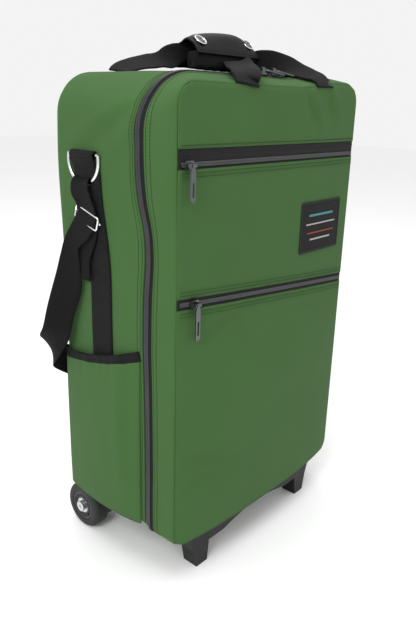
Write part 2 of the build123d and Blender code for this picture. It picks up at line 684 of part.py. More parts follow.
# ---- side webbing, rings and the shoulder strap ----
RING_X = 185.6
RING_BAR_Z = 537.0
RING_Y = 38.0
RING_WIRE = 2.0
RING_CHORD = 27.0
RING_DROP = 34.0
RING_R = (RING_CHORD**2 + RING_DROP**2) / (2 * RING_DROP)
RING_CENTRE_Z = RING_BAR_Z - RING_DROP + RING_R
LOOP_Y = (14.0, 62.0)
LOOP_R = 5.0
WEB_Y = (1.0, 39.0)
WEB_X = (HALF + 0.2, HALF + 2.4)
END_Y = (19.0, 57.0)
END_Z = (448.0, 508.0)
GLIDE_Z = (455.0, 474.0)
STRAP_MID_Y = 120.0
for side, side_name in SIDES:
    ring_x = side * RING_X
    with BuildPart() as side_webbing:
        block(mirrored(WEB_X, side), WEB_Y, (BOTTOM_Z + 6, RING_BAR_Z))
        block(mirrored((WEB_X[0], RING_X - 3), side), (LOOP_Y[0], WEB_Y[1]), (531, RING_BAR_Z))
        with Locations(Location((ring_x, sum(LOOP_Y) / 2, RING_BAR_Z), (90, 0, 0))):
            Cylinder(LOOP_R, LOOP_Y[1] - LOOP_Y[0])
            Cylinder(RING_WIRE + 0.08, LOOP_Y[1] - LOOP_Y[0], mode=Mode.SUBTRACT)
    save(side_webbing, f"side_webbing_{side_name}")

    half_turn = 90 + degrees(asin((RING_BAR_Z - RING_CENTRE_Z) / RING_R))
    bar_end = (ring_x, RING_Y + RING_CHORD, RING_BAR_Z)
    with BuildPart() as d_ring:
        with Locations(Location((ring_x, RING_Y, RING_BAR_Z), (90, 0, 0))):
            Cylinder(RING_WIRE, 2 * RING_CHORD + 1)
        with BuildSketch(Plane(bar_end, z_dir=(0, RING_BAR_Z - RING_CENTRE_Z, -RING_CHORD))):
            Circle(RING_WIRE)
        revolve(axis=Axis((0, RING_Y, RING_CENTRE_Z), (-1, 0, 0)), revolution_arc=2 * half_turn)
    save(d_ring, f"d_ring_{side_name}")

    with BuildPart() as strap_end:
        block(mirrored((RING_X - 2.2, RING_X + 2.2), side), END_Y, END_Z)
    save(strap_end, f"strap_end_{side_name}")

    with BuildPart() as tri_glide:
        glide_y = (END_Y[0] - 3.5, END_Y[1] + 3.5)
        block(mirrored((RING_X - 3.4, RING_X + 3.4), side), glide_y, GLIDE_Z)
        fillet(tri_glide.edges().filter_by(Axis.X), 3)
        block(
            mirrored((RING_X - 2.2, RING_X + 2.2), side),
            END_Y,
            (GLIDE_Z[0] - 1, GLIDE_Z[1] + 1),
            mode=Mode.SUBTRACT,
        )
    save(tri_glide, f"tri_glide_{side_name}")

BACK_SAG = 83.0
BACK_END_Z = 270.0
BACK_ARC_R = (HALF**2 + BACK_SAG**2) / (2 * BACK_SAG)
BACK_ARC_Z = BACK_END_Z - BACK_SAG + BACK_ARC_R
BACK_HALF_ANGLE = degrees(asin(HALF / BACK_ARC_R))
end_angle = radians(BACK_HALF_ANGLE)
side_route = [
    ((-187, 38, 442), (0, 1, 0), WEBBING),
    ((-191, 45, 420), (-0.1, 0.95, 0.3), WEBBING),
    ((-207, 70, 372), (-0.45, 0.6, 0.66), WEBBING),
    ((-221, 98, 328), (-0.15, 0.5, 0.85), WEBBING),
    ((-206, 115, 296), (0.35, 0.1, 0.9), WEBBING),
    ((-HALF, STRAP_MID_Y, BACK_END_Z), (sin(end_angle), 0, cos(end_angle)), WEBBING),
]
run_end = (cos(end_angle), 0, -sin(end_angle))
with BuildPart() as left_run:
    loft(sections=band_sections(side_route, last_direction=run_end), ruled=True)
right_run = mirror(left_run.part, about=Plane.YZ)
with BuildPart() as shoulder_strap:
    add(left_run.part)
    add(right_run)
    with BuildSketch(front_plane(STRAP_MID_Y + WEBBING_THICK / 2)):
        with BuildLine():
            arcs = []
            for radius in (BACK_ARC_R - WEBBING / 2, BACK_ARC_R + WEBBING / 2):
                arcs.append(
                    CenterArc(
                        (0, BACK_ARC_Z), radius, 270 - BACK_HALF_ANGLE, 2 * BACK_HALF_ANGLE
                    )
                )
            Line(arcs[0] @ 0, arcs[1] @ 0)
            Line(arcs[0] @ 1, arcs[1] @ 1)
        make_face()
    extrude(amount=WEBBING_THICK)
save(shoulder_strap, "shoulder_strap")

# ---- the open pocket on the left side ----
POCKET_Y = (-50.0, 98.0)
POCKET_OUT = 15.0
POCKET_WALL = 1.6
BINDING = 12.0
POCKET_FRONT_Z = 312.0
POCKET_BACK_Z = 278.0


def pocket_wall(bottom, top, outset, inset):
    """The pocket's bowed wall between two heights, from its outer to its inner face."""
    middle_y = sum(POCKET_Y) / 2
    with BuildPart() as wall:
        with BuildSketch(Plane.XY.offset(bottom)):
            for shift, mode in ((outset, Mode.ADD), (-inset, Mode.SUBTRACT)):
                ends = (POCKET_Y[0] - shift, POCKET_Y[1] + shift)
                with BuildLine():
                    Line((-HALF - 0.2, ends[0]), (-HALF - 0.2, ends[1]))
                    ThreePointArc(
                        (-HALF - 0.2, ends[1]),
                        (-HALF - POCKET_OUT - shift, middle_y),
                        (-HALF - 0.2, ends[0]),
                    )
                make_face(mode=mode)
        extrude(amount=top - bottom)
    return wall


rise = (POCKET_FRONT_Z - POCKET_BACK_Z) / (POCKET_Y[1] - POCKET_Y[0])
rim_normal = (0, rise, 1)
rim_plane = Plane((-HALF, POCKET_Y[0], POCKET_FRONT_Z - BINDING), z_dir=rim_normal)
rim_top = Plane((-HALF, POCKET_Y[0], POCKET_FRONT_Z), z_dir=rim_normal)
high_wall = pocket_wall(BOTTOM_Z + 2, 330, 0.0, POCKET_WALL)
with BuildPart() as side_pocket:
    add(high_wall.part)
    with BuildSketch(Plane.XY.offset(BOTTOM_Z + 2)):
        with BuildLine():
            Line((-HALF - 0.2, POCKET_Y[0]), (-HALF - 0.2, POCKET_Y[1]))
            ThreePointArc(
                (-HALF - 0.2, POCKET_Y[1]),
                (-HALF - POCKET_OUT, sum(POCKET_Y) / 2),
                (-HALF - 0.2, POCKET_Y[0]),
            )
        make_face()
    extrude(amount=POCKET_WALL)
    split(bisect_by=rim_plane, keep=Keep.BOTTOM)
save(side_pocket, "side_pocket")

rim_wall = pocket_wall(250, 330, 0.6, POCKET_WALL + 0.6)
with BuildPart() as pocket_binding:
    add(rim_wall.part)
    split(bisect_by=rim_plane, keep=Keep.TOP)
    split(bisect_by=rim_top, keep=Keep.BOTTOM)
save(pocket_binding, "pocket_binding")
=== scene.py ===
"""The looks of a softside two-wheeled upright suitcase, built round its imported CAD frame.

Shapes are worked out in millimetres in the frame's own axes (the front faces -Y, +Z is up) and
become metres when their mesh is made.
"""
import math

import bmesh
import bpy
import numpy as np
from mathutils import Matrix, Vector


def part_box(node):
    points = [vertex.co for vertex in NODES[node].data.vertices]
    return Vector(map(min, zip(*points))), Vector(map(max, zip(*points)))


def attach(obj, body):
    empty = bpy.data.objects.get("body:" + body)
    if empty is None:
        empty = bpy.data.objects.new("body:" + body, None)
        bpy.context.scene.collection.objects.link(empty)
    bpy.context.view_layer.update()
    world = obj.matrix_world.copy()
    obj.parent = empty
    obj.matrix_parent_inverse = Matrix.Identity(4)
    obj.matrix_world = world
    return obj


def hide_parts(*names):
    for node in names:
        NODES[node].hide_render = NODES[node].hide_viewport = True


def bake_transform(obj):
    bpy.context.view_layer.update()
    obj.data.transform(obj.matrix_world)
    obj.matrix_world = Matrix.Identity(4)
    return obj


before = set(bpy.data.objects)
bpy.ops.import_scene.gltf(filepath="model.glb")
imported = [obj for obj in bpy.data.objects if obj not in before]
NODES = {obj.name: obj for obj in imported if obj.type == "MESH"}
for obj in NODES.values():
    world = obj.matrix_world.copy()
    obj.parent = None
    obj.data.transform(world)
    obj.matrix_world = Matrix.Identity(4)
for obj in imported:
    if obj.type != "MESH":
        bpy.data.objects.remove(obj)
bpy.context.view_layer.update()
MM = 0.001


def box(node):
    """Lowest and highest corner of a CAD node, in millimetres."""
    low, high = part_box(node)
    return np.array(low) / MM, np.array(high) / MM


# ---- driving places, from the frame ----
SHELL_LOW, SHELL_HIGH = box("main_shell")
COVER_LOW, COVER_HIGH = box("cover_shell")
HALF = SHELL_HIGH[0]
TOP = SHELL_HIGH[2]
BASE = SHELL_LOW[2]
BACK = SHELL_HIGH[1]
FRONT = COVER_LOW[1]
HEM = COVER_LOW[2]
ZIP_Y = (box("zipper_rear")[0][1] + box("zipper_front")[1][1]) / 2
ZIP_HALF = 7.3                # the black band of the main zipper, each side of its middle
TOP_RADIUS = 62.0
FRONT_RADIUS = 25.0
FRONT_TOP = TOP - 10.0
FOOT_RADIUS = 10.0
HEM_RADIUS = 14.0             # the cover's lower corners
BACK_RADIUS = 20.0
STRAIGHT_Y = ZIP_Y - 8.0
STRIP_LOW, STRIP_HIGH = (corner[2] for corner in box("upper_zipper"))
RING_X = round(sum(corner[0] for corner in box("d_ring_right")) / 2, 3)
WEB_THICK = 2.2
INSIDE = np.array([0.0, 0.0, (TOP + BASE) / 2])


# ---- small tools ----
def steps_between(start, end, count):
    """count points from start towards end, without the end."""
    share = np.arange(count)[:, None] / count
    return list(np.array(start) + share * (np.array(end) - np.array(start)))


def arc_points(centre, radius, first, last, count):
    """count points round an arc, in degrees, without the last one."""
    angles = np.radians(first + (last - first) * np.arange(count) / count)
    return list(np.array(centre) + radius * np.stack([np.cos(angles), np.sin(angles)], 1))


def ease(value, low, high):
    """0 below low, 1 above high and smooth between."""
    share = np.clip((value - low) / (high - low), 0, 1)
    return share * share * (3 - 2 * share)


def unit(vectors):
    """Vectors with length one."""
    vectors = np.asarray(vectors, float)
    return vectors / np.maximum(np.linalg.norm(vectors, axis=-1, keepdims=True), 1e-9)


def arch(inset=0.0, radius=TOP_RADIUS, top=TOP, bottom=BASE, foot=FOOT_RADIUS, under=False):
    """Points x, z round the case's outline, from the lower left over the top to the lower right.

    The lower corners turn in with the radius foot.  With under, the line goes on below the case
    and starts and ends at its middle.
    """
    half, top, radius = HALF - inset, top - inset, max(radius - inset, 2.0)
    bottom, foot = bottom + inset, max(foot - inset, 1.0)
    points = steps_between((0, bottom), (foot - half, bottom), 14) if under else []
    points += arc_points((foot - half, bottom + foot), foot, 270, 180, 7)
    bottom += foot
    points += steps_between((-half, bottom), (-half, top - radius), 56)
    points += arc_points((radius - half, top - radius), radius, 180, 90, 14)
    points += steps_between((radius - half, top), (0, top), 16)
    left = np.array(points + [np.array((0.0, top))])
    return np.concatenate([left, left[-2::-1] * (-1, 1)])


def ring_at(y, **shape):
    """The outline as points in space at depth y."""
    flat = arch(**shape)
    return np.stack([flat[:, 0], np.full(len(flat), y), flat[:, 1]], 1)


def gusset_shape(y):
    """How the outline narrows towards the front of the cover."""
    share = np.clip((STRAIGHT_Y - y) / (STRAIGHT_Y - FRONT), 0, 1)
    return {
        "radius": TOP_RADIUS + share * (FRONT_RADIUS - TOP_RADIUS),
        "top": TOP + share * (FRONT_TOP - TOP),
        "bottom": HEM,
        "foot": HEM_RADIUS,
    }


# ---- how the filled and used bag differs from its pattern ----
def crease(a, b, p, q, width, depth):
    """A soft fold along the line from p to q, at the places a, b: a furrow with a ridge beside it."""
    along = np.array(q, float) - np.array(p, float)
    length = np.hypot(*along)
    along /= length
    s = (a - p[0]) * along[0] + (b - p[1]) * along[1]
    t = (b - p[1]) * along[0] - (a - p[0]) * along[1]
    ends = ease(s, -0.15 * length, 0.3 * length) * (1 - ease(s, 0.6 * length, 1.1 * length))
    return depth * ends * (np.exp(-(((t - width) / width) ** 2)) - np.exp(-((t / width) ** 2)))


def ripple(a, b, scale, phase=0.0):
    """Slow unevenness between -1 and 1."""
    waves = np.sin(a / scale + phase) * np.sin(b / (1.7 * scale) + 1.3 * phase + 0.6)
    waves += 0.6 * np.sin((a + 0.8 * b) / (0.63 * scale) + 2.1 + phase)
    return waves / 1.6


def side_relief(y, z, side):
    """How far a side wall stands out."""
    deep = np.sin(np.pi * np.clip((y - ZIP_Y) / (BACK - ZIP_Y), 0, 1))
    tall = np.sin(np.pi * np.clip((z - BASE) / (TOP - BASE), 0, 1)) ** 0.6
    out = 2.0 * deep * tall + 0.5 * ripple(y, z, 33, side) + 3.0 * np.exp(-(((z - 520) / 75) ** 2))
    if np.ndim(y):
        out = out + crease(y, z, (-48, 596), (48, 548), 9, 3.2)
        out = out + crease(y, z, (-52, 560), (20, 500), 11, 2.2)
        out = out + crease(y, z, (-96, 100), (-70, 175), 8, 1.2)
    return out


def front_relief(x, z):
    """How far the front panel stands forward."""
    crown = 1.0 - np.abs(np.clip(x / HALF, -1, 1)) ** 2.6
    pocket = 13.0 * crown * ease(-z, -352, -235)
    panel = 2.5 * crown * np.sin(np.pi * np.clip((z - HEM) / (FRONT_TOP - HEM), 0, 1))
    out = pocket + panel + 0.45 * crown * ripple(x, z, 41)
    out = out + crease(x, z, (52, 612), (90, 566), 6, 3.0)
    out = out + crease(x, z, (100, 612), (128, 572), 7, 3.2)
    out = out + crease(x, z, (-150, 330), (-60, 356), 10, 2.4)
    out = out + crease(x, z, (-172, 190), (-60, 150), 13, 3.4)
    out = out + crease(x, z, (-174, 150), (-95, 148), 10, 2.6)
    out = out + crease(x, z, (40, 338), (150, 322), 10, 2.4)
    return out


def through(values, at, steps):
    """Rows on a smooth curve through the given rows, steps to each span."""
    values, at = np.asarray(values, float), np.asarray(at, float)
    slope = np.gradient(values, at, axis=0)
    spans = [np.linspace(a, b, steps, endpoint=False) for a, b in zip(at[:-1], at[1:])]
    place = np.concatenate(spans + [at[-1:]])
    k = np.clip(np.searchsorted(at, place, side="right") - 1, 0, len(at) - 2)
    shape = (-1,) + (1,) * (values.ndim - 1)
    h = (at[k + 1] - at[k]).reshape(shape)
    s = ((place - at[k]) / (at[k + 1] - at[k])).reshape(shape)
    return (
        (2 * s**3 - 3 * s**2 + 1) * values[k]
        + (s**3 - 2 * s**2 + s) * h * slope[k]
        + (3 * s**2 - 2 * s**3) * values[k + 1]
        + (s**3 - s**2) * h * slope[k + 1]
    )


# the main zipper's line on the sides: its height and its depth y
SWAY = through(
    [
        (80, -63), (250, -62.5), (320, -60.5), (380, -62), (430, -66.3), (462, -64), (500, -55),
        (560, -51), (620, -54),
    ],
    np.arange(9.0),
    8,
)


def lifted(x, z):
    """Height z after the full right shoulder has pushed the top up."""
    return z + 8.0 * ease(x, 40, 112) * ease(z, STRIP_HIGH, TOP)


def settle(points):
    """Points of the sewn pattern, moved to where the filled bag carries them."""
    points = np.array(points, float)
    x, y, z = points[..., 0], points[..., 1], points[..., 2]
    side = np.sign(x)
    beside = ease(np.abs(x), 100, 165)
    wave = np.interp(z, SWAY[:, 0], SWAY[:, 1]) - ZIP_Y
    points[..., 1] = y + wave * beside * np.exp(-(((y - ZIP_Y) / 30) ** 2))
    wall = ease(np.abs(x), HALF - 14, HALF - 4) * ease(y, FRONT, FRONT + 14)
    points[..., 0] = x + side * wall * side_relief(y, z, side)
    lid = ease(z, TOP - 8, TOP - 2) * ease(-np.abs(x), -150, -90)
    slack = np.exp(-(((y + 5) / 42) ** 2))
    points[..., 2] = lifted(x, z) + lid * slack * (0.8 * ripple(x, y, 27) + 1.2)
    return points


# ---- meshes ----
def box_uv(corners):
    """UVs in metres for faces given by their corners, laid on by the way each face looks."""
    normal = np.abs(np.cross(corners[:, 2] - corners[:, 0], corners[:, 3] - corners[:, 1]))
    main = normal.argmax(1)
    first = np.where(main == 0, 1, 0)
    second = np.where(main == 2, 1, 2)
    rows = np.arange(len(corners))[:, None]
    spots = np.arange(4)[None, :]
    return np.stack(
        [corners[rows, spots, first[:, None]], corners[rows, spots, second[:, None]]], -1
    )


def surface(name, grid, inside=None, wrap=False, uv=None):
    """A mesh over a grid of points.  inside is a point that its faces look away from."""
    rows, columns = grid.shape[:2]
    index = np.arange(rows * columns).reshape(rows, columns)
    if wrap:
        index = np.concatenate([index, index[:, :1]], axis=1)
    faces = [index[:-1, :-1], index[:-1, 1:], index[1:, 1:], index[1:, :-1]]
    faces = np.stack(faces, -1).reshape(-1, 4)
    points = grid.reshape(-1, 3)
    if inside is not None:
        corners = points[faces]
        normal = np.cross(corners[:, 1] - corners[:, 0], corners[:, 3] - corners[:, 0])
        if (normal * (corners.mean(1) - np.array(inside))).sum() < 0:
            faces = faces[:, ::-1]
    mesh = bpy.data.meshes.new(name)
    mesh.from_pydata((points * MM).tolist(), [], faces.tolist())
    spread = box_uv(points[faces]) if uv is None else uv.reshape(-1, 2)[faces]
    layer = mesh.uv_layers.new(name="UVMap")
    layer.data.foreach_set("uv", (spread * MM).astype(np.float32).ravel())
    mesh.polygons.foreach_set("use_smooth", [True] * len(faces))
    made = bpy.data.objects.new(name, mesh)
    bpy.context.scene.collection.objects.link(made)
    return made


def close_ends(piece):
    """Fill the open ends of a tube and turn every face outwards."""
    work = bmesh.new()
    work.from_mesh(piece.data)
    open_edges = [edge for edge in work.edges if edge.is_boundary]
    bmesh.ops.holes_fill(work, edges=open_edges)
    bmesh.ops.recalc_face_normals(work, faces=work.faces)
    work.to_mesh(piece.data)
    work.free()
    return piece


def thicken(piece, thick):
    """Give a sheet its thickness, inwards; its second material lines it."""
    modifier = piece.modifiers.new("thickness", "SOLIDIFY")
    modifier.thickness = thick * MM
    modifier.offset = -1
    modifier.material_offset = 1 if len(piece.data.materials) > 1 else 0
    return piece


def bevelled(piece, width, segments=3, angle=35):
    """Round a hard piece's edges as its mould would."""
    modifier = piece.modifiers.new("edges", "BEVEL")
    modifier.width = width * MM
    modifier.segments = segments
    modifier.limit_method = "ANGLE"
    modifier.angle_limit = math.radians(angle)
    modifier.harden_normals = False
    return piece


def ribbon(name, stations, thick=WEB_THICK, steps=8):
    """Flat webbing along stations: (point, direction of its width, width, cup of its edges)."""
    points = np.array([s[0] for s in stations], float)
    across = unit([s[1] for s in stations])
    sizes = np.array([s[2:] for s in stations], float)
    at = np.concatenate([[0], np.cumsum(np.linalg.norm(np.diff(points, axis=0), axis=1))])
    points, across, sizes = (through(rows, at, steps) for rows in (points, across, sizes))
    ahead = unit(np.gradient(points, axis=0))
    across = unit(across - (across * ahead).sum(1, keepdims=True) * ahead)
    normal = np.cross(ahead, across)
    flat = np.linspace(-0.965, 0.965, 9)
    share = np.concatenate([flat, [1, 1], flat[::-1], [-1, -1]])
    rise = np.concatenate([np.full(9, 0.5), [0.22, -0.22], np.full(9, -0.5), [-0.22, 0.22]]) * thick
    width, cup = sizes[:, :1], sizes[:, 1:]
    sideways = share * width / 2
    lift = rise + cup * share**2
    grid = points[:, None] + sideways[..., None] * across[:, None] + lift[..., None] * normal[:, None]
    length = np.concatenate([[0], np.cumsum(np.linalg.norm(np.diff(points, axis=0), axis=1))])
    uv = np.stack([sideways, np.repeat(length[:, None], len(share), 1)], -1)
    return close_ends(surface(name, grid, wrap=True, uv=uv))


def tube_round(name, path, radius, sides=10, closed=False):
    """A round bar of the given radius along a path."""
    path = np.asarray(path, float)
    if closed:
        ahead = unit(np.roll(path, -1, 0) - np.roll(path, 1, 0))
    else:
        ahead = unit(np.gradient(path, axis=0))
    start = np.array((0.31, 0.52, 0.8))
    first = unit(start - (ahead @ start)[:, None] * ahead)
    second = np.cross(ahead, first)
    turn = 2 * np.pi * np.arange(sides) / sides
    grid = path[:, None] + radius * (
        np.cos(turn)[:, None] * first[:, None] + np.sin(turn)[:, None] * second[:, None]
    )
    if closed:
        grid = np.concatenate([grid, grid[:1]])
    return close_ends(surface(name, grid, wrap=True))


def lathe(name, profile, centre, side=1, segments=48):
    """A turned piece about an axis along X: profile is (distance outwards along X, radius)."""
    profile = np.array(profile, float)
    turn = 2 * np.pi * np.arange(segments) / segments
    grid = np.zeros((len(profile), segments, 3))
    grid[..., 0] = centre[0] + side * profile[:, :1]
    grid[..., 1] = centre[1] + profile[:, 1:] * np.cos(turn)
    grid[..., 2] = centre[2] + profile[:, 1:] * np.sin(turn)
    return close_ends(surface(name, grid, wrap=True))


def bead(sides=6):
    """A short rounded bar along X, one long and two thick: its points and faces."""
    rings = ((-0.5, 0.35), (-0.36, 0.95), (0.36, 0.95), (0.5, 0.35))
    turn = 2 * np.pi * np.arange(sides) / sides
    points = [(x, r * math.cos(a), r * math.sin(a)) for x, r in rings for a in turn]
    faces = [
        (k * sides + i, k * sides + (i + 1) % sides, (k + 1) * sides + (i + 1) % sides, (k + 1) * sides + i)
        for k in range(3)
        for i in range(sides)
    ]
    faces += [tuple(range(sides))[::-1], tuple(range(3 * sides, 4 * sides))]
    return np.array(points), faces


def scatter(name, frames):
    """One mesh of beads.  frames: rows of (origin, its own x, y and z with their lengths)."""
    template, faces = bead()
    frames = np.asarray(frames, float)
    points = frames[:, None, 0] + template @ frames[:, 1:]
    count = len(template)
    all_faces = [[i + k * count for i in face] for k in range(len(frames)) for face in faces]
    mesh = bpy.data.meshes.new(name)
    mesh.from_pydata((points.reshape(-1, 3) * MM).tolist(), [], all_faces)
    mesh.polygons.foreach_set("use_smooth", [True] * len(all_faces))
    made = bpy.data.objects.new(name, mesh)
    bpy.context.scene.collection.objects.link(made)
    return close_ends(made)


def marks_along(path, pitch, start=0.5):
    """Places and directions every pitch along a path."""
    path = np.asarray(path, float)
    length = np.concatenate([[0], np.cumsum(np.linalg.norm(np.diff(path, axis=0), axis=1))])
    where = np.arange(start * pitch, length[-1], pitch)
    ahead = np.gradient(path, axis=0)
    spots = np.stack([np.interp(where, length, path[:, i]) for i in range(3)], 1)
    ways = unit(np.stack([np.interp(where, length, ahead[:, i]) for i in range(3)], 1))
    return spots, ways


def stitch_frames(path, across, length=3.0, pitch=4.0, radius=0.42):
    """Frames of the stitches of one row of sewing; across lies in the cloth."""
    spots, ways = marks_along(path, pitch)
    across = unit(np.broadcast_to(np.array(across, float), spots.shape))
    normal = unit(np.cross(ways, across))
    return np.stack([spots, ways * length, across * radius, normal * radius * 0.8], 1)


def tooth_frames(path, across, length, pitch=1.9, start=0.5, slant=0.22):
    """Frames of the coil's turns along a zipper; across runs over the zipper."""
    spots, ways = marks_along(path, pitch, start)
    across = unit(np.broadcast_to(np.array(across, float), spots.shape))
    normal = unit(np.cross(ways, across))
    lay = unit(across + slant * ways)
    return np.stack([spots, lay * length, np.cross(normal, lay) * 0.72, normal * 0.95], 1)


# ---- materials ----
def linear(red, green, blue):
    """A colour given as it looks on a screen, 0 to 255, for a shader socket."""
    share = np.array((red, green, blue)) / 255
    low = share / 12.92
    high = ((share + 0.055) / 1.055) ** 2.4
    return (*np.where(share <= 0.04045, low, high), 1.0)


class Finish:
    """A material under construction: its shader and short ways to add nodes."""

    def __init__(self, name, **sockets):
        self.material = bpy.data.materials.new(name)
        self.material.use_nodes = True
        self.tree = self.material.node_tree
        self.shader = self.tree.nodes["Principled BSDF"]
        for socket, value in sockets.items():
            self.shader.inputs[socket.replace("_", " ")].default_value = value

    def node(self, kind, **values):
        """A node; a value named like an input sets it, a node or socket is linked to it."""
        made = self.tree.nodes.new(kind)
        for key, value in values.items():
            if hasattr(made, key):
                setattr(made, key, value)
            else:
                self.feed(made.inputs[key.replace("_", " ")], value)
        return made

    def feed(self, socket, value):
        """Link an output to a socket, or set a constant on it."""
        if isinstance(value, bpy.types.NodeSocket):
            self.tree.links.new(value, socket)
        else:
            socket.default_value = value

    def where(self, output="Object"):
        """Coordinates in metres: Object, or UV for woven pieces."""
        return self.node("ShaderNodeTexCoord").outputs[output]

    def sum(self, operation, first, second):
        """A Math node's result."""
        made = self.node("ShaderNodeMath", operation=operation)
        self.feed(made.inputs[0], first)
        self.feed(made.inputs[1], second)
        return made.outputs[0]

    def waves(self, vector, pitch, direction):
        """Bands of the given pitch in metres, from 0 to 1, across X or Y."""
        made = self.node("ShaderNodeTexWave", bands_direction=direction, Scale=math.pi / 10 / pitch)
        self.feed(made.inputs["Vector"], vector)
        return made.outputs["Fac"]

    def noise(self, vector, size, detail=3.0):
        """Noise with features of about the given size in metres."""
        made = self.node("ShaderNodeTexNoise", Scale=1 / size, Detail=detail)
        self.feed(made.inputs["Vector"], vector)
        return made.outputs["Fac"]

    def blend(self, share, first, second):
        """A colour between two, by share."""
        made = self.node("ShaderNodeMix", data_type="RGBA")
        self.feed(made.inputs[0], share)
        self.feed(made.inputs[6], first)
        self.feed(made.inputs[7], second)
        return made.outputs[2]

    def colour(self, share, first, second):
        """The base colour runs between two colours, by share."""
        self.feed(self.shader.inputs["Base Color"], self.blend(share, first, second))

    def relief(self, height, distance, strength=1.0):
        """Bump of the given depth in metres."""
        made = self.node("ShaderNodeBump", Strength=strength, Distance=distance)
        self.feed(made.inputs["Height"], height)
        self.feed(self.shader.inputs["Normal"], made.outputs[0])


def tint(colour, factor):
    """A lighter or darker shade of a colour."""
    return (*[min(part * factor, 1.0) for part in colour[:3]], 1.0)


def woven(name, colour, pitch, depth=0.00025, contrast=0.16, sheen=0.03, roughness=0.85):
    """Plain-woven cloth: threads over and under, uneven yarn and slow changes of shade."""
    finish = Finish(name, Roughness=roughness, Sheen_Weight=sheen, Specular_IOR_Level=0.2)
    uv = finish.where("UV")
    warp, weft = finish.waves(uv, pitch, "X"), finish.waves(uv, pitch, "Y")
    over = finish.sum("MULTIPLY", warp, weft)
    under = finish.sum("MULTIPLY", finish.sum("SUBTRACT", 1.0, warp), finish.sum("SUBTRACT", 1.0, weft))
    height = finish.sum("ADD", over, under)
    yarn = finish.noise(uv, 2.6 * pitch, 2.0)
    shade = finish.noise(finish.where(), 0.11, 3.0)
    share = finish.sum("MULTIPLY_ADD", height, 0.45)
    share.node.inputs[2].default_value = 0.0
    share = finish.sum("ADD", share, finish.sum("MULTIPLY", yarn, 0.3))
    share = finish.sum("ADD", share, finish.sum("MULTIPLY", shade, 0.5))
    finish.colour(share, tint(colour, 1 - contrast), tint(colour, 1 + contrast))
    finish.relief(finish.sum("ADD", height, finish.sum("MULTIPLY", yarn, 0.5)), depth)
    return finish.material


def ribbed(name, colour, pitch, roughness=0.68):
    """Heavy webbing: ribs across its length, each of small yarns, with painted highlights on the rib tops,
    painted shade between the ribs and random wear.
    """
    finish = Finish(name, Roughness=roughness, Sheen_Weight=0.02, Specular_IOR_Level=0.1)
    uv = finish.where("UV")
    ribs = finish.waves(uv, pitch, "Y")
    yarns = finish.waves(uv, pitch * 0.62, "X")
    height = finish.sum("ADD", ribs, finish.sum("MULTIPLY", yarns, 0.35))
    wear = finish.noise(finish.where(), 0.02, 4.0)
    # The colour follows the rib height: painted highlight on the rib tops and painted shade in the grooves,
    # mixed with random wear.
    share = finish.sum("MULTIPLY", finish.sum("ADD", height, wear), 0.55)
    finish.colour(share, tint(colour, 0.55), tint(colour, 1.5))
    finish.relief(height, 0.0006)
    return finish.material


def moulded(name, colour, roughness=0.5, grain=0.0006, depth=0.00006, coat=0.0):
    """Moulded plastic or rubber: a fine spark-eroded grain, with scuffs and dust."""
    finish = Finish(name, Coat_Weight=coat, Coat_Roughness=0.25, Specular_IOR_Level=0.3)
    place = finish.where()
    fine = finish.noise(place, grain, 2.0)
    scuffs = finish.noise(place, 0.018, 5.0)
    finish.colour(scuffs, tint(colour, 0.7), tint(colour, 1.35))
    low = finish.sum("MULTIPLY_ADD", scuffs, 0.3)
    low.node.inputs[2].default_value = roughness - 0.15
    finish.feed(finish.shader.inputs["Roughness"], low)
    finish.relief(fine, depth)
    return finish.material


def metal(name, colour, roughness=0.2):
    """Plated or drawn metal: faint rubbing marks and a little haze."""
    finish = Finish(name, Metallic=1.0)
    place = finish.where()
    stretch = finish.node("ShaderNodeMapping", Scale=(40.0, 900.0, 900.0))
    finish.feed(stretch.inputs["Vector"], place)
    rubs = finish.noise(stretch.outputs[0], 1.0, 3.0)
    haze = finish.noise(place, 0.006, 4.0)
    finish.colour(haze, tint(colour, 0.82), tint(colour, 1.08))
    rough = finish.sum("MULTIPLY_ADD", rubs, 0.16)
    rough.node.inputs[2].default_value = roughness - 0.06
    finish.feed(finish.shader.inputs["Roughness"], rough)
    finish.relief(rubs, 0.00001, 0.4)
    return finish.material


def vinyl(name, colour, roughness=0.46):
    """Smooth coated vinyl with a leather grain of small cells."""
    finish = Finish(name, Roughness=roughness, Specular_IOR_Level=0.15)
    place = finish.where()
    cells = finish.node("ShaderNodeTexVoronoi", Scale=900.0)
    finish.feed(cells.inputs["Vector"], place)
    wear = finish.noise(place, 0.012, 4.0)
    finish.colour(wear, tint(colour, 0.75), tint(colour, 1.3))
    finish.relief(cells.outputs["Distance"], 0.0001, 0.7)
    return finish.material


def chevron_vinyl(name, colour):
    """Vinyl embossed all over with a fine raised zigzag; painted highlights on the ridges, painted shade in
    the grooves and random wear.
    """
    finish = Finish(name, Roughness=0.55, Specular_IOR_Level=0.15)
    uv = finish.where("UV")
    axes = finish.node("ShaderNodeSeparateXYZ")
    finish.feed(axes.inputs[0], uv)
    zigzag = finish.sum("PINGPONG", axes.outputs[0], 0.0022)
    slant = finish.sum("ADD", axes.outputs[1], zigzag)
    ridges = finish.sum("PINGPONG", slant, 0.0011)
    height = finish.sum("DIVIDE", ridges, 0.0011)
    wear = finish.noise(finish.where(), 0.01, 3.0)
    # The colour follows the ridge height: painted highlight on the ridges and painted shade in the grooves,
    # mixed with random wear.
    share = finish.sum("MULTIPLY", finish.sum("ADD", height, wear), 0.5)
    finish.colour(share, tint(colour, 0.55), tint(colour, 1.5))
    finish.relief(height, 0.0006)
    return finish.material


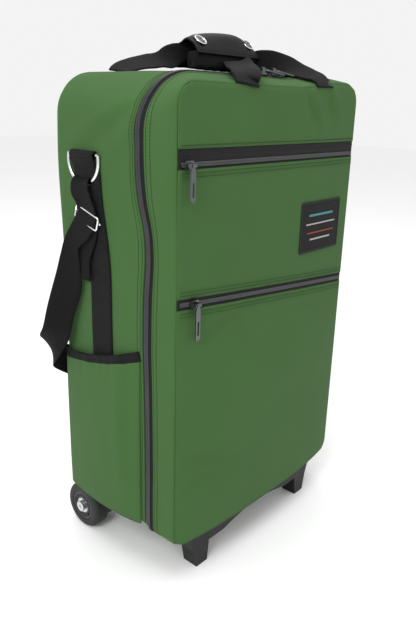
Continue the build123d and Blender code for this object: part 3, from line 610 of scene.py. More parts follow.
GREEN = linear(58, 92, 46)
M = {
    "cloth": woven("green_nylon", GREEN, 0.0011),
    "thread": woven("green_thread", tint(GREEN, 0.36), 0.0006, 0.0001, 0.3),
    "lining": woven("dark_lining", linear(46, 47, 48), 0.0006, 0.0001, 0.2),
    "webbing": ribbed("black_webbing", linear(18, 18, 19), 0.0021),
    "strap": ribbed("black_strap", linear(13, 13, 13), 0.0016),
    "binding": ribbed("elastic_binding", linear(18, 18, 19), 0.0011),
    "tape": woven("zipper_tape", linear(27, 27, 28), 0.0007, 0.00015, 0.25),
    "coil": moulded("zipper_coil", linear(66, 66, 68), 0.4, 0.0004, 0.00002),
    "black_thread": woven("black_thread", linear(36, 36, 38), 0.0005, 0.0001, 0.3),
    "vinyl": vinyl("black_vinyl", linear(14, 14, 15)),
    "chevron": chevron_vinyl("embossed_vinyl", linear(22, 22, 23)),
    "plastic": moulded("black_plastic", linear(16, 16, 16)),
    "gloss": moulded("glossy_button", linear(40, 40, 42), 0.3, 0.0008, 0.00003, 0.4),
    "tyre": moulded("rubber_tyre", linear(38, 38, 39), 0.62, 0.0009, 0.0001),
    "hub": moulded("grey_hub", linear(50, 51, 52), 0.42),
    "steel": metal("bright_steel", linear(205, 206, 208)),
    "chrome": metal("chrome", linear(235, 236, 238), 0.12),
    "tube": metal("drawn_aluminium", linear(150, 152, 155), 0.3),
    "slider": metal("gunmetal", linear(104, 105, 108), 0.3),
    "board": moulded("grey_board", linear(92, 90, 86), 0.75, 0.0015, 0.0001),
    "patch": woven("patch_weave", linear(20, 20, 22), 0.0006, 0.0001, 0.3),
    "bar_a": woven("patch_teal", linear(70, 120, 120), 0.0006, 0.0001, 0.2),
    "bar_b": woven("patch_rust", linear(128, 62, 52), 0.0006, 0.0001, 0.2),
    "bar_c": woven("patch_grey", linear(150, 150, 148), 0.0006, 0.0001, 0.2),
}


def finish_piece(piece, body, material, replaces=(), lining=None):
    """Paint a new piece, hang it on its body and hide the CAD nodes it stands for."""
    piece.data.materials.append(M[material])
    if lining:
        piece.data.materials.append(M[lining])
    if body:
        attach(piece, body)
    if replaces:
        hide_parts(*replaces)
    return piece


# ---- the case ----
def case_cloth():
    """The back part of the bag: both sides, top, base and back in one shell."""
    edge = ZIP_Y + ZIP_HALF
    folded = ((0.6, 2.4), (0.0, 1.2), (0.5, 0.2))
    loops = [ring_at(edge + back, inset=inset, under=True) for back, inset in folded]
    straight = BACK - BACK_RADIUS
    for y in np.linspace(edge + 1.6, straight, 20):
        radius = TOP_RADIUS - 14.0 * ease(y, edge + 12, straight - 10)
        loops.append(ring_at(y, radius=radius, under=True))
    for angle in np.radians(np.arange(11.25, 90.1, 11.25)):
        inset = BACK_RADIUS * (1 - math.cos(angle))
        y = straight + BACK_RADIUS * math.sin(angle)
        loops.append(ring_at(y, inset=inset, radius=radius, under=True))
    for inset in np.linspace(BACK_RADIUS + 8, HALF - 6, 15):
        loops.append(ring_at(BACK, inset=inset, radius=radius, under=True))
    grid = np.array(loops)[:, :-1]
    back = ease(grid[..., 1], BACK - 1, BACK)
    grid = settle(grid)
    crown = back * np.cos(np.clip(grid[..., 0] / HALF, -1, 1) * np.pi / 2)
    grid[..., 1] -= back * 0.8 * (1 + ripple(grid[..., 0], grid[..., 2], 47, 2)) - 0.8 * crown
    piece = surface("case_cloth", grid, INSIDE, wrap=True)
    work = bmesh.new()
    work.from_mesh(piece.data)
    middle = [e for e in work.edges if e.is_boundary and e.verts[0].co.y > 0]
    bmesh.ops.holes_fill(work, edges=middle)
    low, high = box("handle_bezel")
    low, high = (low + 3.0) * MM, (high - 3.0) * MM
    for spot, way in ((low, (1, 0, 0)), (high, (1, 0, 0)), (low, (0, 1, 0)), (high, (0, 1, 0))):
        parts = [f for f in work.faces if f.calc_center_median().z > (TOP - 20) * MM]
        parts += list({e for f in parts for e in f.edges}) + list({v for f in parts for v in f.verts})
        bmesh.ops.bisect_plane(work, geom=parts, plane_co=spot, plane_no=way)
    hole = []
    for face in work.faces:
        x, y, z = face.calc_center_median()
        if low[0] < x < high[0] and low[1] < y < high[1] and z > (TOP - 20) * MM:
            hole.append(face)
    bmesh.ops.delete(work, geom=hole, context="FACES")
    work.to_mesh(piece.data)
    work.free()
    finish_piece(piece, "case", "cloth", ["main_shell"], "lining")
    return thicken(piece, 3.0)


def base_tongue():
    """The stiff floor that runs on under the cover."""
    low, high = SHELL_LOW, BASE + 3.4
    side = 170.0
    profile = [(-side, low[2]), (-side, high), (side, high), (side, low[2])]
    grid = np.array([[(x, y, z) for x, z in profile] for y in (low[1], -80.0, ZIP_Y + ZIP_HALF)])
    piece = close_ends(surface("base_tongue", grid, wrap=True))
    finish_piece(piece, "case", "board")
    return bevelled(piece, 1.2)


def zipper_side(name, body, direction, node, **shape):
    """One half of the main zipper: its tape and the coil's turns, behind (+1) or before (-1)."""
    gap = 0.15 * direction
    places = np.array([0.0, 2.6, 4.0, ZIP_HALF + 1.2]) * direction + ZIP_Y + gap
    heights = (-0.1, 0.0, 0.7, 1.1)
    loops = [ring_at(y, inset=h, **shape) for y, h in zip(places, heights)]
    tape = surface(f"{name}_tape", settle(np.array(loops)), INSIDE)
    finish_piece(tape, body, "tape", [node])
    thicken(tape, 0.8)
    path = settle(ring_at(ZIP_Y + 1.75 * direction, inset=-0.7, **shape))
    frames = tooth_frames(path, (0, 1, 0), 3.7, start=0.5 if direction > 0 else 1.0)
    coil = scatter(f"{name}_coil", frames)
    return finish_piece(coil, body, "coil")


def case_stitching():
    """Rows of sewing on the case: two beside the zipper, one round the back panel."""
    rows = []
    for y in (ZIP_Y + ZIP_HALF + 3.2, ZIP_Y + ZIP_HALF + 8.6):
        rows.append(stitch_frames(settle(ring_at(y, inset=-0.25)), (0, 1, 0)))
    back = ring_at(BACK + 0.1, inset=BACK_RADIUS + 5, under=True)
    rows.append(stitch_frames(back, (0.01, 0, 1)))
    piece = scatter("case_stitching", np.concatenate(rows))
    return finish_piece(piece, "case", "thread")


# ---- the front cover ----
def front_half_width(z, inset):
    """Half of the front panel's width at height z."""
    width = HALF - inset
    corners = ((FRONT_RADIUS, z - (FRONT_TOP - FRONT_RADIUS)), (HEM_RADIUS, HEM + HEM_RADIUS - z))
    for radius, over in corners:
        radius = radius - inset
        width = width - radius + np.sqrt(radius**2 - np.clip(over, 0, radius) ** 2)
    return width


def front_grid(low, high, proud, inset=2.2, rows=30, pillow=0.0, columns=76):
    """A panel on the front between two heights, each a number or a function of x."""
    low_at, high_at = (f if callable(f) else (lambda x, f=f: f + 0 * x) for f in (low, high))
    across = np.linspace(-1, 1, columns)[None, :]
    share = np.linspace(0, 1, rows)[:, None]
    x = across * (HALF - inset)
    z = low_at(x) + (high_at(x) - low_at(x)) * share
    x = across * front_half_width(z, inset)
    puff = pillow * (1 - np.abs(2 * share - 1) ** 5) * (1 - np.abs(across) ** 9)
    y = FRONT - proud - puff - front_relief(x, z)
    return np.stack(np.broadcast_arrays(x, y, lifted(x, z)), -1)


def front_path(x_low, x_high, height, proud, count=90):
    """A line across the front at a height that may depend on x."""
    x = np.linspace(x_low, x_high, count)
    z = height(x) if callable(height) else np.full(count, height)
    return np.stack([x, FRONT - proud - front_relief(x, z), z], 1)


UPPER_COIL_Z = box("upper_slider")[0][2] / 2 + box("upper_slider")[1][2] / 2
LOWER_LOW, LOWER_HIGH = box("lower_zipper")[0][2], box("lower_zipper")[1][2]
BAND_HALF = 7.0
LOWER_LEFT_Z, LOWER_RIGHT_Z = LOWER_HIGH - BAND_HALF, LOWER_LOW + BAND_HALF
LOWER_X = box("lower_zipper")[1][0]


def lower_line(offset):
    """A function for the height of a line beside the lower pocket's sloping zipper."""
    return lambda x: (
        (LOWER_LEFT_Z + LOWER_RIGHT_Z) / 2
        + (LOWER_RIGHT_Z - LOWER_LEFT_Z) * x / (2 * LOWER_X)
        + offset
    )


def cover_gusset():
    """The cover's wall round the sides and the top, turned in at both edges."""
    edge = ZIP_Y - ZIP_HALF
    loops = [ring_at(edge - 0.6, inset=2.4, **gusset_shape(edge))]
    loops += [ring_at(edge, inset=1.2, **gusset_shape(edge))]
    loops += [ring_at(edge - 0.5, inset=0.2, **gusset_shape(edge))]
    loops += [ring_at(y, **gusset_shape(y)) for y in np.linspace(edge - 1.6, FRONT + 3.2, 10)]
    for angle in np.radians((22.5, 45, 67.5, 90)):
        y = FRONT + 3.2 * (1 - math.sin(angle))
        loops.append(ring_at(y, inset=3.2 * (1 - math.cos(angle)), **gusset_shape(y)))
    loops.append(ring_at(FRONT + 1.6, inset=4.2, **gusset_shape(FRONT)))
    piece = surface("cover_gusset", settle(np.array(loops)), INSIDE)
    finish_piece(piece, "front_cover", "cloth", ["cover_shell"], "lining")
    return thicken(piece, 3.0)


def front_panels():
    """The front's cloth: yoke, upper panel and bulging lower pocket, over a lining."""
    ahead = (0.0, 50.0, 300.0)
    band_high, band_low = lower_line(BAND_HALF - 0.6), lower_line(0.6 - BAND_HALF)
    parts = (
        ("front_yoke", STRIP_HIGH - 0.4, FRONT_TOP - 2.4, 0.9, 14, 0.5, []),
        ("upper_pocket_cloth", band_high, STRIP_LOW + 0.4, 0.9, 32, 1.6, ["upper_pocket"]),
        ("lower_pocket_cloth", HEM, band_low, 0.9, 60, 1.6, ["lower_pocket"]),
    )
    for name, low, high, proud, rows, pillow, nodes in parts:
        piece = surface(name, front_grid(low, high, proud, rows=rows, pillow=pillow), ahead)
        finish_piece(piece, "front_cover", "cloth", nodes, "lining")
        thicken(piece, 1.7)
    inner = surface("cover_lining", front_grid(HEM + 1, FRONT_TOP - 4, -3.6, 3.6, 60), ahead)
    finish_piece(inner, "front_cover", "lining")
    thicken(inner, 1.0)


def front_zippers():
    """The black strip with the upper zipper, and the sloping band with the lower one."""
    ahead = (0.0, 50.0, 300.0)
    strip = surface("upper_zipper_strip", front_grid(STRIP_LOW - 1, STRIP_HIGH + 1, 0.1, rows=8), ahead)
    finish_piece(strip, "front_cover", "tape", ["upper_zipper"])
    thicken(strip, 1.2)
    band = front_grid(lower_line(-BAND_HALF - 1), lower_line(BAND_HALF + 1), 0.1, rows=6)
    band = surface("lower_zipper_band", band, ahead)
    finish_piece(band, "front_cover", "tape", ["lower_zipper"])
    thicken(band, 1.2)
    frames = []
    for height in (UPPER_COIL_Z, lower_line(0.0)):
        for shift, start in ((1.2, 0.5), (-1.2, 1.0)):
            line = (height + shift) if not callable(height) else lower_line(shift)
            path = front_path(3.0 - LOWER_X, LOWER_X - 3.0, line, 0.9)
            frames.append(tooth_frames(path, (0, 0, 1), 2.6, 1.5, start))
    coils = scatter("pocket_coils", np.concatenate(frames))
    finish_piece(coils, "front_cover", "coil")
    ridge = []
    for height in (STRIP_HIGH - 5.5, STRIP_LOW + 1.2):
        ridge.append(stitch_frames(front_path(-LOWER_X, LOWER_X, height, 0.4), (0, 0, 1)))
    ridge = scatter("strip_stitching", np.concatenate(ridge))
    finish_piece(ridge, "front_cover", "black_thread")


def cover_stitching():
    """Rows of sewing on the cover: beside the main zipper and beside the pockets' zippers."""
    rows = []
    for y in (ZIP_Y - ZIP_HALF - 3.2, ZIP_Y - ZIP_HALF - 8.6):
        path = settle(ring_at(y, inset=-0.25, **gusset_shape(y)))
        rows.append(stitch_frames(path, (0, 1, 0)))
    reach = HALF - 5.0
    lines = [(STRIP_LOW - 3.4, 1.6), (STRIP_LOW - 7.6, 2.1), (STRIP_HIGH + 3.0, 1.2)]
    lines += [(lower_line(BAND_HALF + 3.4), 1.7), (lower_line(BAND_HALF + 7.6), 2.3)]
    lines += [(lower_line(-BAND_HALF - 3.4), 1.5), (lower_line(-BAND_HALF - 7.6), 2.0)]
    for height, proud in lines:
        rows.append(stitch_frames(front_path(-reach, reach, height, proud + 0.3), (0, 0, 1)))
    piece = scatter("cover_stitching", np.concatenate(rows))
    return finish_piece(piece, "front_cover", "thread")


def label_patch():
    """A plain woven patch with a merrowed edge and four bars instead of any mark."""
    low, high = box("label_patch")
    x, z = np.linspace(low[0], high[0], 30), np.linspace(low[2], high[2], 20)
    x, z = np.meshgrid(x, z)
    y = FRONT - 3.4 - front_relief(x, z)
    inside = (100.0, 50.0, 440.0)
    piece = surface("label_cloth", np.stack([x, y, z], -1), inside)
    finish_piece(piece, "front_cover", "patch", ["label_patch"])
    thicken(piece, 1.1)
    corner = [(low[0], low[2]), (high[0], low[2]), (high[0], high[2]), (low[0], high[2])]
    edge = []
    for (x0, z0), (x1, z1) in zip(corner, corner[1:] + corner[:1]):
        line = np.array(steps_between((x0, z0), (x1, z1), 40) + [np.array((x1, z1))])
        path = np.stack([line[:, 0], FRONT - 3.4 - front_relief(line[:, 0], line[:, 1]), line[:, 1]], 1)
        spots, ways = marks_along(path, 0.9)
        normal = np.broadcast_to(np.array((0.0, -1.0, 0.0)), ways.shape)
        across = np.cross(normal, ways)
        edge.append(np.stack([spots, across * 3.4, ways * 0.55, normal * 0.7], 1))
    edge = scatter("label_edge", np.concatenate(edge))
    finish_piece(edge, "front_cover", "black_thread")
    bars = (
        ("bar_a", 16.0, 3.2, 30.0),
        ("bar_c", 4.0, 2.0, 36.0),
        ("bar_b", -8.0, 2.0, 33.0),
        ("bar_c", -17.0, 2.4, 25.0),
    )
    middle = (low + high) / 2
    for number, (material, height, tall, reach) in enumerate(bars):
        x = np.linspace(middle[0] - reach, middle[0] + reach, 24)
        z = np.full(24, middle[2] + height)
        path = np.stack([x, FRONT - 3.7 - front_relief(x, z), z], 1)
        spots, ways = marks_along(path, 0.8)
        upwards = np.tile((0.0, 0.0, tall), (len(spots), 1))
        outwards = np.tile((0.0, -0.4, 0.0), (len(spots), 1))
        frames = np.stack([spots, upwards, ways * 0.5, outwards], 1)
        bar = scatter(f"label_bar_{number}", frames)
        finish_piece(bar, "front_cover", material)



# ---- handles and the grip ----
def carry_handles():
    """The two webbing handles, which run together inside the grip."""
    low, high = box("front_handle")
    left, right = low[0] + 19, high[0] - 19
    grip_low, grip_high = box("grip_sleeve")
    band_y = grip_low[1] + 11
    band_z = (grip_low[2] + grip_high[2]) / 2 + 1.5
    front = [
        ((right, FRONT - 2.2, 620.5), (-1, 0, 0), 38, 0),
        ((right, FRONT + 3.0, 627), (-1, 0, 0), 38, 0),
        ((right - 2, -97, 632.5), (-0.98, -0.05, -0.15), 38, 0),
        ((right - 6, -86, 636), (-0.93, -0.15, -0.3), 38, 0.3),
        ((right - 12, -71, 641), (-0.8, -0.35, -0.48), 37, 0.6),
        ((right - 19, -51, 646), (-0.4, -0.3, -0.86), 33, 0.8),
        ((right - 27, -32, 649), (-0.1, -0.1, -1), 33, 1.0),
        ((grip_high[0] + 2, -18, 648.5), (0, 0, -1), 28, 1.5),
        ((grip_high[0] - 8, band_y, band_z), (0, 0, -1), 14, 2.0),
        ((grip_low[0] + 96, band_y, band_z - 1), (0, 0, -1), 14, 2.0),
        ((grip_low[0] + 84, -18, 647), (-0.5, 0.45, -0.6), 24, 1.0),
        ((8, -30, 647.5), (-0.72, 0.68, -0.1), 36, 0.5),
        ((-13, -50, 643.5), (-0.72, 0.7, 0), 38, 0.3),
        ((-36, -73, 638.5), (-0.72, 0.7, 0), 38, 0),
        ((-57, -94, 632.5), (-0.9, 0.4, 0), 38, 0),
        ((left + 2, FRONT + 5, 626.5), (-1, 0.03, 0), 38, 0),
        ((left, FRONT - 2.2, 618), (-1, 0, 0), 38, 0),
    ]
    piece = ribbon("front_handle_webbing", front)
    finish_piece(piece, "front_cover", "webbing", ["front_handle"])
    low, high = box("rear_handle")
    reach = high[0] - 19
    ends = []
    for side in (-1, 1):
        ends.append(
            [
                ((side * (reach + 9), 44, TOP + 1.0), (0, -side, 0), 38, 0),
                ((side * (reach + 4), 43, TOP + 3.5), (0, -side, -side * 0.14), 38, 0.2),
                ((side * (reach - 12), 38, TOP + 9.0), (side * 0.05, -side * 0.97, -side * 0.25), 38, 0.5),
                ((side * (reach - 32), 30, TOP + 13), (0, -side * 0.93, -side * 0.36), 38, 1.0),
                ((side * 70, 22, TOP + 16), (0, -side * 0.88, -side * 0.46), 36, 1.5),
                ((side * 56 - 3, 13, TOP + 23), (0, -side * 0.2, -side), 26, 1.0),
            ]
        )
    ends[1] = [(spot, tuple(-part for part in way), wide, cup) for spot, way, wide, cup in ends[1]]
    piece = ribbon("rear_handle_webbing", ends[0] + ends[1][::-1])
    return finish_piece(piece, "case", "webbing", ["rear_handle"])


def grip():
    """The padded grip: a quilted lower sleeve and a vinyl wall behind it."""
    low, high = box("grip_sleeve")
    high[2] += 5.0
    middle, size = (low + high) / 2, (high - low) / 2
    around = 36
    turn = 2 * np.pi * np.arange(around) / around
    round_y = np.sign(np.cos(turn)) * np.abs(np.cos(turn)) ** 0.62
    round_z = np.sign(np.sin(turn)) * np.abs(np.sin(turn)) ** 0.62
    loops, uv = [], []
    steps = np.hypot(np.diff(round_y) * size[1], np.diff(round_z) * size[2])
    girth = np.concatenate([[0], np.cumsum(steps)])
    for share in np.linspace(-1, 1, 41):
        swell = 1 - 0.16 * abs(share) ** 8 + 0.012 * math.sin(22 * share)
        x = middle[0] + share * size[0]
        y = middle[1] + size[1] * swell * round_y
        z = middle[2] + size[2] * swell * round_z
        loops.append(np.stack([np.full(around, x), y, z], 1))
        uv.append(np.stack([np.full(around, x), girth], 1))
    sleeve = close_ends(surface("grip_sleeve_pad", np.array(loops), wrap=True, uv=np.array(uv)))
    finish_piece(sleeve, "front_cover", "chevron", ["grip_sleeve"])
    low, high = box("grip_back")
    y_mid = (low[1] + high[1]) / 2
    wall = []
    for x in np.linspace(low[0], high[0], 12):
        top = high[2] - 11.0 * ease(-x, 28, 58)
        wall.append(((x, y_mid, (low[2] + top) / 2), (0, 0, 1), top - low[2], 0.6))
    wall = ribbon("grip_back_wall", wall, 3.6)
    finish_piece(wall, "case", "chevron", ["grip_back"])


def flap():
    """The smooth flap over the grip: stitched all round, with two ring snaps."""
    low, high = box("grip_flap")
    route = np.array(
        [
            (high[1] - 0.6, high[2] - 4.6),
            (high[1] - 3.0, high[2] - 1.6),
            (high[1] - 15.0, high[2] - 0.8),
            (high[1] - 27.0, high[2] - 1.8),
            (low[1] + 11.0, high[2] - 7.5),
            (low[1] + 4.0, high[2] - 15.5),
            (low[1] + 0.5, low[2] + 0.2),
        ]
    )
    at = np.concatenate([[0], np.cumsum(np.linalg.norm(np.diff(route, axis=0), axis=1))])
    line = through(route, at, 6)
    across = np.linspace(low[0], high[0], 44)
    grid = np.zeros((len(line), len(across), 3))
    grid[..., 0] = across
    grid[..., 1] = line[:, :1]
    left_part = 7.0 - 9.5 * (np.clip(22 - across, 0, None) / (22 - low[0])) ** 2
    right_part = 13.0 * (np.clip(across - 22, 0, None) / (high[0] - 22)) ** 2
    share = ease(line[:, :1], low[1], low[1] + 16) * (1 - 0.5 * ease(line[:, :1], 6, high[1]))
    grid[..., 2] = line[:, 1:] + (left_part - right_part) * share
    behind = ease(line[:, :1], -12, high[1])
    grid[..., 2] -= 9.0 * behind * ease(-across, 30, 62)
    grid[..., 0] *= 1 - 0.12 * behind
    piece = surface("flap_vinyl", grid, (0.0, 0.0, 600.0))
    finish_piece(piece, "flap", "vinyl", ["grip_flap"], "vinyl")
    thicken(piece, 2.4)
    bevelled(piece, 0.7, 2, 60)
    rows = []
    for row in (3, len(line) - 4):
        rows.append(stitch_frames(grid[row, 2:-2] + (0, 0, 0.3), (0, 1, 0.4), 2.4, 3.2, 0.34))
    for column in (2, len(across) - 3):
        rows.append(stitch_frames(grid[3:-3, column] + (0, 0, 0.3), (1, 0, 0), 2.4, 3.2, 0.34))
    sewing = scatter("flap_stitching", np.concatenate(rows))
    finish_piece(sewing, "flap", "black_thread")
    snaps(grid)


def ring_profile(outer, inner, height):
    """Half section of a domed eyelet: (distance up, radius)."""
    middle, swing = (outer + inner) / 2, (outer - inner) / 2
    turn = np.radians(np.linspace(0, 360, 17)[:-1])
    return [(height * (0.5 + 0.5 * math.sin(a)), middle + swing * math.cos(a)) for a in turn]


def turned_on(name, profile, origin, normal, segments=40):
    """A closed ring turned about any axis: the section wraps round."""
    normal = unit(normal)
    first = unit(np.cross(normal, (1.0, 0.1, 0.0)))
    second = np.cross(normal, first)
    profile = np.array(profile, float)
    turn = 2 * np.pi * np.arange(segments + 1) / segments
    way = np.cos(turn)[:, None] * first + np.sin(turn)[:, None] * second
    grid = np.array(origin) + profile[None, :, :1] * normal + profile[None, :, 1:] * way[:, None]
    piece = surface(name, grid, wrap=True)
    return piece


def snaps(grid):
    """Two ring snaps, each a bright eyelet round a dark dome."""
    low, high = box("snap_caps")
    radius = 9.5
    for side, x in (("left", low[0] + radius), ("right", high[0] - radius)):
        row = int(np.abs(grid[:, 0, 1] - (grid[:, 0, 1].min() + 11)).argmin())
        column = int(np.abs(grid[row, :, 0] - x).argmin())
        spot = grid[row, column]
        slope = grid[row + 2, column] - grid[row - 2, column]
        normal = unit(np.cross(slope, (1.0, 0.0, 0.0)))
        if normal[2] < 0:
            normal = -normal
        eyelet = turned_on(f"snap_ring_{side}", ring_profile(radius - 1.0, 6.6, 1.4), spot, normal)
        close_ends(eyelet)
        finish_piece(eyelet, "flap", "chrome", ["snap_caps"])
        dome = [(0.2, 6.8), (0.8, 6.2), (1.3, 3.6), (1.5, 1.9), (0.9, 1.5), (0.8, 0.2)]
        dome = turned_on(f"snap_dome_{side}", dome + [(0.0, 0.2), (0.0, 6.6)], spot, normal)
        finish_piece(close_ends(dome), "flap", "slider")


# ---- side webbing, strap, rings ----
def side_straps():
    """Webbing down each side, and the loop that holds the ring."""
    for side, name in ((-1, "left"), (1, "right")):
        low = box(f"side_webbing_{name}")[0]
        bar = box(f"d_ring_{name}")
        bar_z = bar[1][2] - 2.0
        web_y = (low[1] + 39.0) / 2
        loop_y = (bar[0][1] + bar[1][1]) / 2
        heights = np.linspace(BASE + 4, bar_z - 12, 30)
        lean = web_y - 3.0 + (loop_y - 6.0 - web_y) * ease(heights, bar_z - 150, bar_z - 15)
        line = settle(np.stack([np.full(30, side * HALF), lean, heights], 1))
        route = [((p[0] + side * 1.3, p[1], p[2]), (0, side, 0), 38.0, 0.0) for p in line]
        web = ribbon(f"side_webbing_cloth_{name}", route, steps=3)
        finish_piece(web, "case", "webbing", [f"side_webbing_{name}"])
        wall = HALF + 3.4
        around = [
            (wall, -30, 38), (wall + 0.2, -18, 40), (RING_X - 4.2, -7, 43), (RING_X - 4.0, 1.5, 43),
            (RING_X, 4.1, 43), (RING_X + 4.0, 1.0, 43), (RING_X + 2.6, -5.5, 43), (wall + 4.0, -12, 42),
            (wall + 2.6, -19, 40), (wall + 2.3, -31, 38),
        ]
        loop = [((side * x, loop_y, bar_z + up), (0, 1, 0), wide, 0.0) for x, up, wide in around]
        loop = ribbon(f"ring_loop_{name}", loop, 1.9)
        finish_piece(loop, "case", "webbing")


def glide(side, name):
    """A three-bar glide: a rounded wire frame with its middle bar."""
    low, high = box(f"tri_glide_{name}")
    middle = (low + high) / 2 - (0, 7.0, 0)
    half_y, half_z = (high[1] - low[1]) / 2 - 1.6, (high[2] - low[2]) / 2 - 1.6
    corner = 3.0
    points = []
    for cy, cz, start in ((1, 1, 0), (-1, 1, 90), (-1, -1, 180), (1, -1, 270)):
        centre = (middle[1] + cy * (half_y - corner), middle[2] + cz * (half_z - corner))
        points += arc_points(centre, corner, start, start + 90, 5)
    points = np.array(points) - middle[1:]
    tilt = math.radians(18)
    points = points @ np.array(((math.cos(tilt), math.sin(tilt)), (-math.sin(tilt), math.cos(tilt))))
    outer_x = np.full(len(points), middle[0] + side * 3.6)
    frame_path = np.stack([outer_x, middle[1] + points[:, 0], middle[2] + points[:, 1]], 1)
    piece = tube_round(f"glide_frame_{name}", frame_path, 1.2, closed=True)
    finish_piece(piece, f"ring_{name}", "chrome", [f"tri_glide_{name}"])
    rise = math.tan(tilt)
    bar_x = middle[0] - side * 0.6
    bar = [(bar_x, middle[1] + way * half_y, middle[2] + way * half_y * rise) for way in (-1, 0, 1)]
    bar = tube_round(f"glide_bar_{name}", bar, 1.3)
    finish_piece(bar, f"ring_{name}", "chrome")


def shoulder_strap():
    """The carrying strap, in two runs that meet behind the case."""
    for s, name in ((-1, "left"), (1, "right")):
        ring_low = box(f"d_ring_{name}")[0][2]
        route = [
            ((s * (RING_X + 1.5), 47, 386), (0, 0.92, 0.38), 34, 0),
            ((s * (RING_X + 1.0), 46, 415), (0, 0.95, 0.3), 33, 0.5),
            ((s * (RING_X - 0.5), 34, 448), (0, 0.9, 0.43), 34, 0),
            ((s * (RING_X - 1.6), 35, 482), (0, 1, 0.2), 32, 0),
            ((s * (RING_X - 3.6), 40, ring_low - 1), (0, 1, 0), 30, s * 0.6),
            ((s * (RING_X - 2.4), 40, ring_low + 5.0), (0, 1, 0), 29, s * 2.2),
            ((s * RING_X, 40, ring_low + 6.6), (0, 1, 0), 28, s * 3.6),
            ((s * (RING_X + 2.6), 40, ring_low + 4.6), (0, 1, 0), 30, s * 2.2),
            ((s * (RING_X + 4.2), 40, ring_low - 3), (0, 1, 0.05), 34, s * 1.2),
            ((s * (RING_X + 4.0), 34, 486), (0, 0.96, 0.25), 30, s * 1.5),
            ((s * (RING_X + 3.4), 30, 468), (0, 0.87, 0.5), 34, 0),
            ((s * (RING_X + 4.4), 39, 452), (s * 0.02, 0.9, 0.42), 34, 0),
            ((s * 193, 55, 430), (s * 0.15, 0.9, 0.4), 25, s * 2.0),
            ((s * 194, 60, 408), (s * 0.3, 0.85, 0.42), 30, s * 1.0),
            ((s * 194, 66, 380), (s * 0.4, 0.82, 0.4), 38, 0),
            ((s * 198, 80, 338), (s * 0.48, 0.83, 0.28), 38, 0),
            ((s * 201, 91, 302), (s * 0.5, 0.83, 0.22), 38, 0),
            ((s * 200, 103, 287), (s * 0.35, 0.72, 0.6), 38, 0),
            ((s * 191, 114, 272), (0, 0.45, 0.89), 38, 0),
            ((s * 172, 119.5, 256), (-s * 0.5, 0.1, 0.85), 38, 0),
            ((s * 120, 120, 222), (-s * 0.52, 0, 0.86), 38, 0),
            ((s * 60, 120, 195), (-s * 0.26, 0, 0.97), 38, 0),
            ((s * 0.2, 120, 187), (0, 0, 1), 38, 0),
        ]
        piece = ribbon(f"shoulder_strap_{name}", route, 2.0, 10)
        finish_piece(piece, None, "strap", ["shoulder_strap", f"strap_end_{name}"])
        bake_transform(piece)
        glide(s, name)


def side_pocket():
    """The open pocket: bowed and gathered cloth under an elastic rim."""
    low, high = box("side_pocket")
    rim = box("pocket_binding")
    front_z, back_z = rim[1][2], rim[0][2] + 12.0
    y = np.linspace(low[1] + 0.2, high[1] - 0.2, 90)
    share = (y - y[0]) / (y[-1] - y[0])
    rim_z = front_z + (back_z - front_z) * share - 6.0 * np.sin(np.pi * share) - 6.0
    bow = np.sin(np.pi * np.clip(share, 0, 1)) ** 0.6
    rows = []
    for level in np.linspace(0, 1, 44):
        z = low[2] + (rim_z - low[2]) * level
        folds = np.sin(y / 2.9 + 1.4 * np.sin(y / 11)) + 0.8 * np.sin(y / 5.3 + 1.2)
        gather = ease(level, 0.72, 1.0) ** 2 * 0.8 * folds * (0.6 + 0.4 * np.sin(y / 17))
        out = 4.0 + 11.5 * math.sin(math.pi * min(0.12 + 0.80 * level, 1.0)) ** 0.7
        slump = 2.2 * ripple(y, z, 30, 3) * math.sin(math.pi * level)
        furrow = crease(y, z, (-30, 330), (-38, 90), 12, 4.0)
        x = -HALF - 1.0 - bow * (out + gather * 0.8 + slump + furrow)
        rows.append(np.stack([x, y, z], 1))
    grid = np.array(rows)
    piece = surface("side_pocket_cloth", grid, INSIDE)
    finish_piece(piece, "case", "cloth", ["side_pocket"], "lining")
    thicken(piece, 1.4)
    top = grid[-1]
    route = [((p[0] + 0.4, p[1], p[2] + 1.0), (-0.12, 0, 1), 12.5, 0.0) for p in top[::3]]
    binding = ribbon("pocket_rim", route, 3.0, 4)
    finish_piece(binding, "case", "binding", ["pocket_binding"])


# ---- wheels, stand and hardware ----
def wheels():
    """Each wheel's hub, turned with a raised ring and spokes."""
    for side, name in ((-1, "left"), (1, "right")):
        low, high = box(f"hub_{name}")
        middle = (low + high) / 2
        half = (high[0] - low[0]) / 2
        outer = (high[1] - low[1]) / 2
        profile = [
            (-half, 11.2), (-half, outer), (half, outer), (half + 0.6, outer - 1.5),
            (half + 0.4, outer - 3.5), (half - 3.0, outer - 4.5), (half - 3.4, 14.6),
            (half - 0.6, 13.6), (half - 0.2, 11.2),
        ]
        profile.append(profile[0])
        hub = lathe(f"hub_turned_{name}", profile, middle, side)
        finish_piece(hub, f"wheel_{name}", "hub", [f"hub_{name}"])
        spokes = []
        for turn in np.radians(np.arange(0, 360, 60)):
            way = np.array((0.0, math.cos(turn), math.sin(turn)))
            spot = middle + (side * (half - 2.6), 0, 0) + way * 16.2
            spokes.append([spot, way * 7.0, np.cross(way, (1.0, 0, 0)) * 1.6, (side * 1.6, 0, 0)])
        spokes = scatter(f"hub_spokes_{name}", np.array(spokes))
        finish_piece(spokes, f"wheel_{name}", "hub")


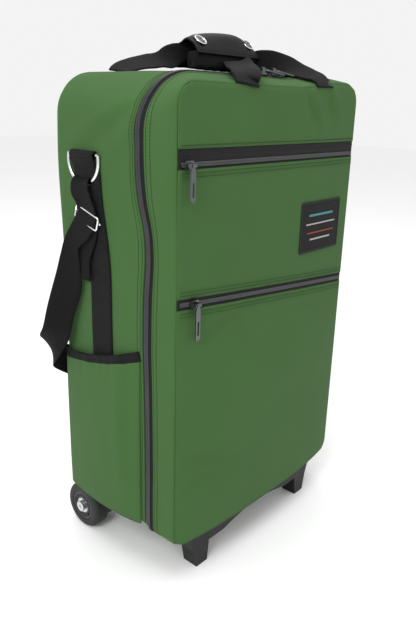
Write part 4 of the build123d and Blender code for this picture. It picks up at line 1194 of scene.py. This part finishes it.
HARDWARE = (
    (
        "plastic",
        "front_stand wheel_housing_left wheel_housing_right tube_bracket handle_bezel lock_plugs",
        1.2,
    ),
    ("gloss", "pull_grip release_button", 1.0),
    ("tyre", "tyre_left tyre_right", 0.0),
    ("steel", "bearings_left bearings_right axle_left axle_right base_screws push_rods", 0.4),
    ("chrome", "d_ring_left d_ring_right", 0.0),
    ("tube", "outer_tube_left outer_tube_right inner_tube_left inner_tube_right", 0.0),
    ("lining", "lining", 0.0),
    ("board", "back_board frame_hoop", 0.0),
    (
        "slider",
        "upper_slider upper_pull lower_slider lower_pull main_slider_1 main_slider_2 "
        "main_pull_1 main_pull_2",
        0.35,
    ),
)


def hardware():
    """CAD nodes whose shape is final: their material and moulded edges."""
    for material, names, edge in HARDWARE:
        for name in names.split():
            node = NODES[name]
            node.data.materials.clear()
            node.data.materials.append(M[material])
            if edge:
                bevelled(node, edge)


# ---- the room ----
def studio():
    """A pale floor, a white world and soft lights."""
    floor_grid = np.array([[(x, y, 0.0) for x in (-9000, 9000)] for y in (-9000, 9000)])
    floor = surface("floor", floor_grid, (0.0, 0.0, -10.0))
    paper = Finish("pale_floor", Roughness=0.9)
    shade = paper.noise(paper.where(), 0.8, 2.0)
    paper.colour(shade, linear(249, 249, 249), linear(252, 252, 252))
    floor.data.materials.append(paper.material)
    world = bpy.data.worlds.new("studio")
    world.use_nodes = True
    world.node_tree.nodes["Background"].inputs["Color"].default_value = (1.0, 1.0, 1.0, 1.0)
    world.node_tree.nodes["Background"].inputs["Strength"].default_value = 0.9
    bpy.context.scene.world = world
    bpy.context.scene.view_settings.view_transform = "Standard"
    for name, place, size, power in (
        ("key", (-1.5, -0.5, 1.5), 0.7, 16),
        ("top", (0.0, 0.0, 2.6), 2.4, 30),
    ):
        light = bpy.data.lights.new(name, "AREA")
        light.size, light.energy = size, power
        lamp = bpy.data.objects.new(name, light)
        lamp.location = place
        aim = Vector((0, 0, 0.35)) - Vector(place)
        lamp.rotation_euler = aim.to_track_quat("-Z", "Y").to_euler()
        bpy.context.scene.collection.objects.link(lamp)


def camera():
    """The camera: standing at the case's left front corner, a little below its top."""
    yaw, pitch, roll = math.radians(48.57), math.radians(18.18), math.radians(1.58)
    right = np.array((math.cos(yaw), -math.sin(yaw), 0.0))
    ahead = np.array((math.sin(yaw) * math.cos(pitch), math.cos(yaw) * math.cos(pitch), -math.sin(pitch)))
    up = np.cross(right, ahead)
    turned = math.cos(roll) * right + math.sin(roll) * up
    upright = -math.sin(roll) * right + math.cos(roll) * up
    data = bpy.data.cameras.new("camera")
    data.lens, data.sensor_width = 36.38, 36.0
    data.clip_start = 0.02
    made = bpy.data.objects.new("camera", data)
    axes = Matrix(np.stack([turned, upright, -ahead], 1).tolist()).to_4x4()
    made.matrix_world = Matrix.Translation((-0.645, -0.5675, 0.5962)) @ axes
    bpy.context.scene.collection.objects.link(made)
    bpy.context.scene.camera = made


camera()
studio()
hardware()
case_cloth()
base_tongue()
zipper_side("case_zipper", "case", 1, "zipper_rear")
zipper_side("cover_zipper", "front_cover", -1, "zipper_front", bottom=HEM, foot=HEM_RADIUS)
case_stitching()
cover_gusset()
front_panels()
front_zippers()
cover_stitching()
label_patch()
carry_handles()
grip()
flap()
side_straps()
shoulder_strap()
side_pocket()
wheels()
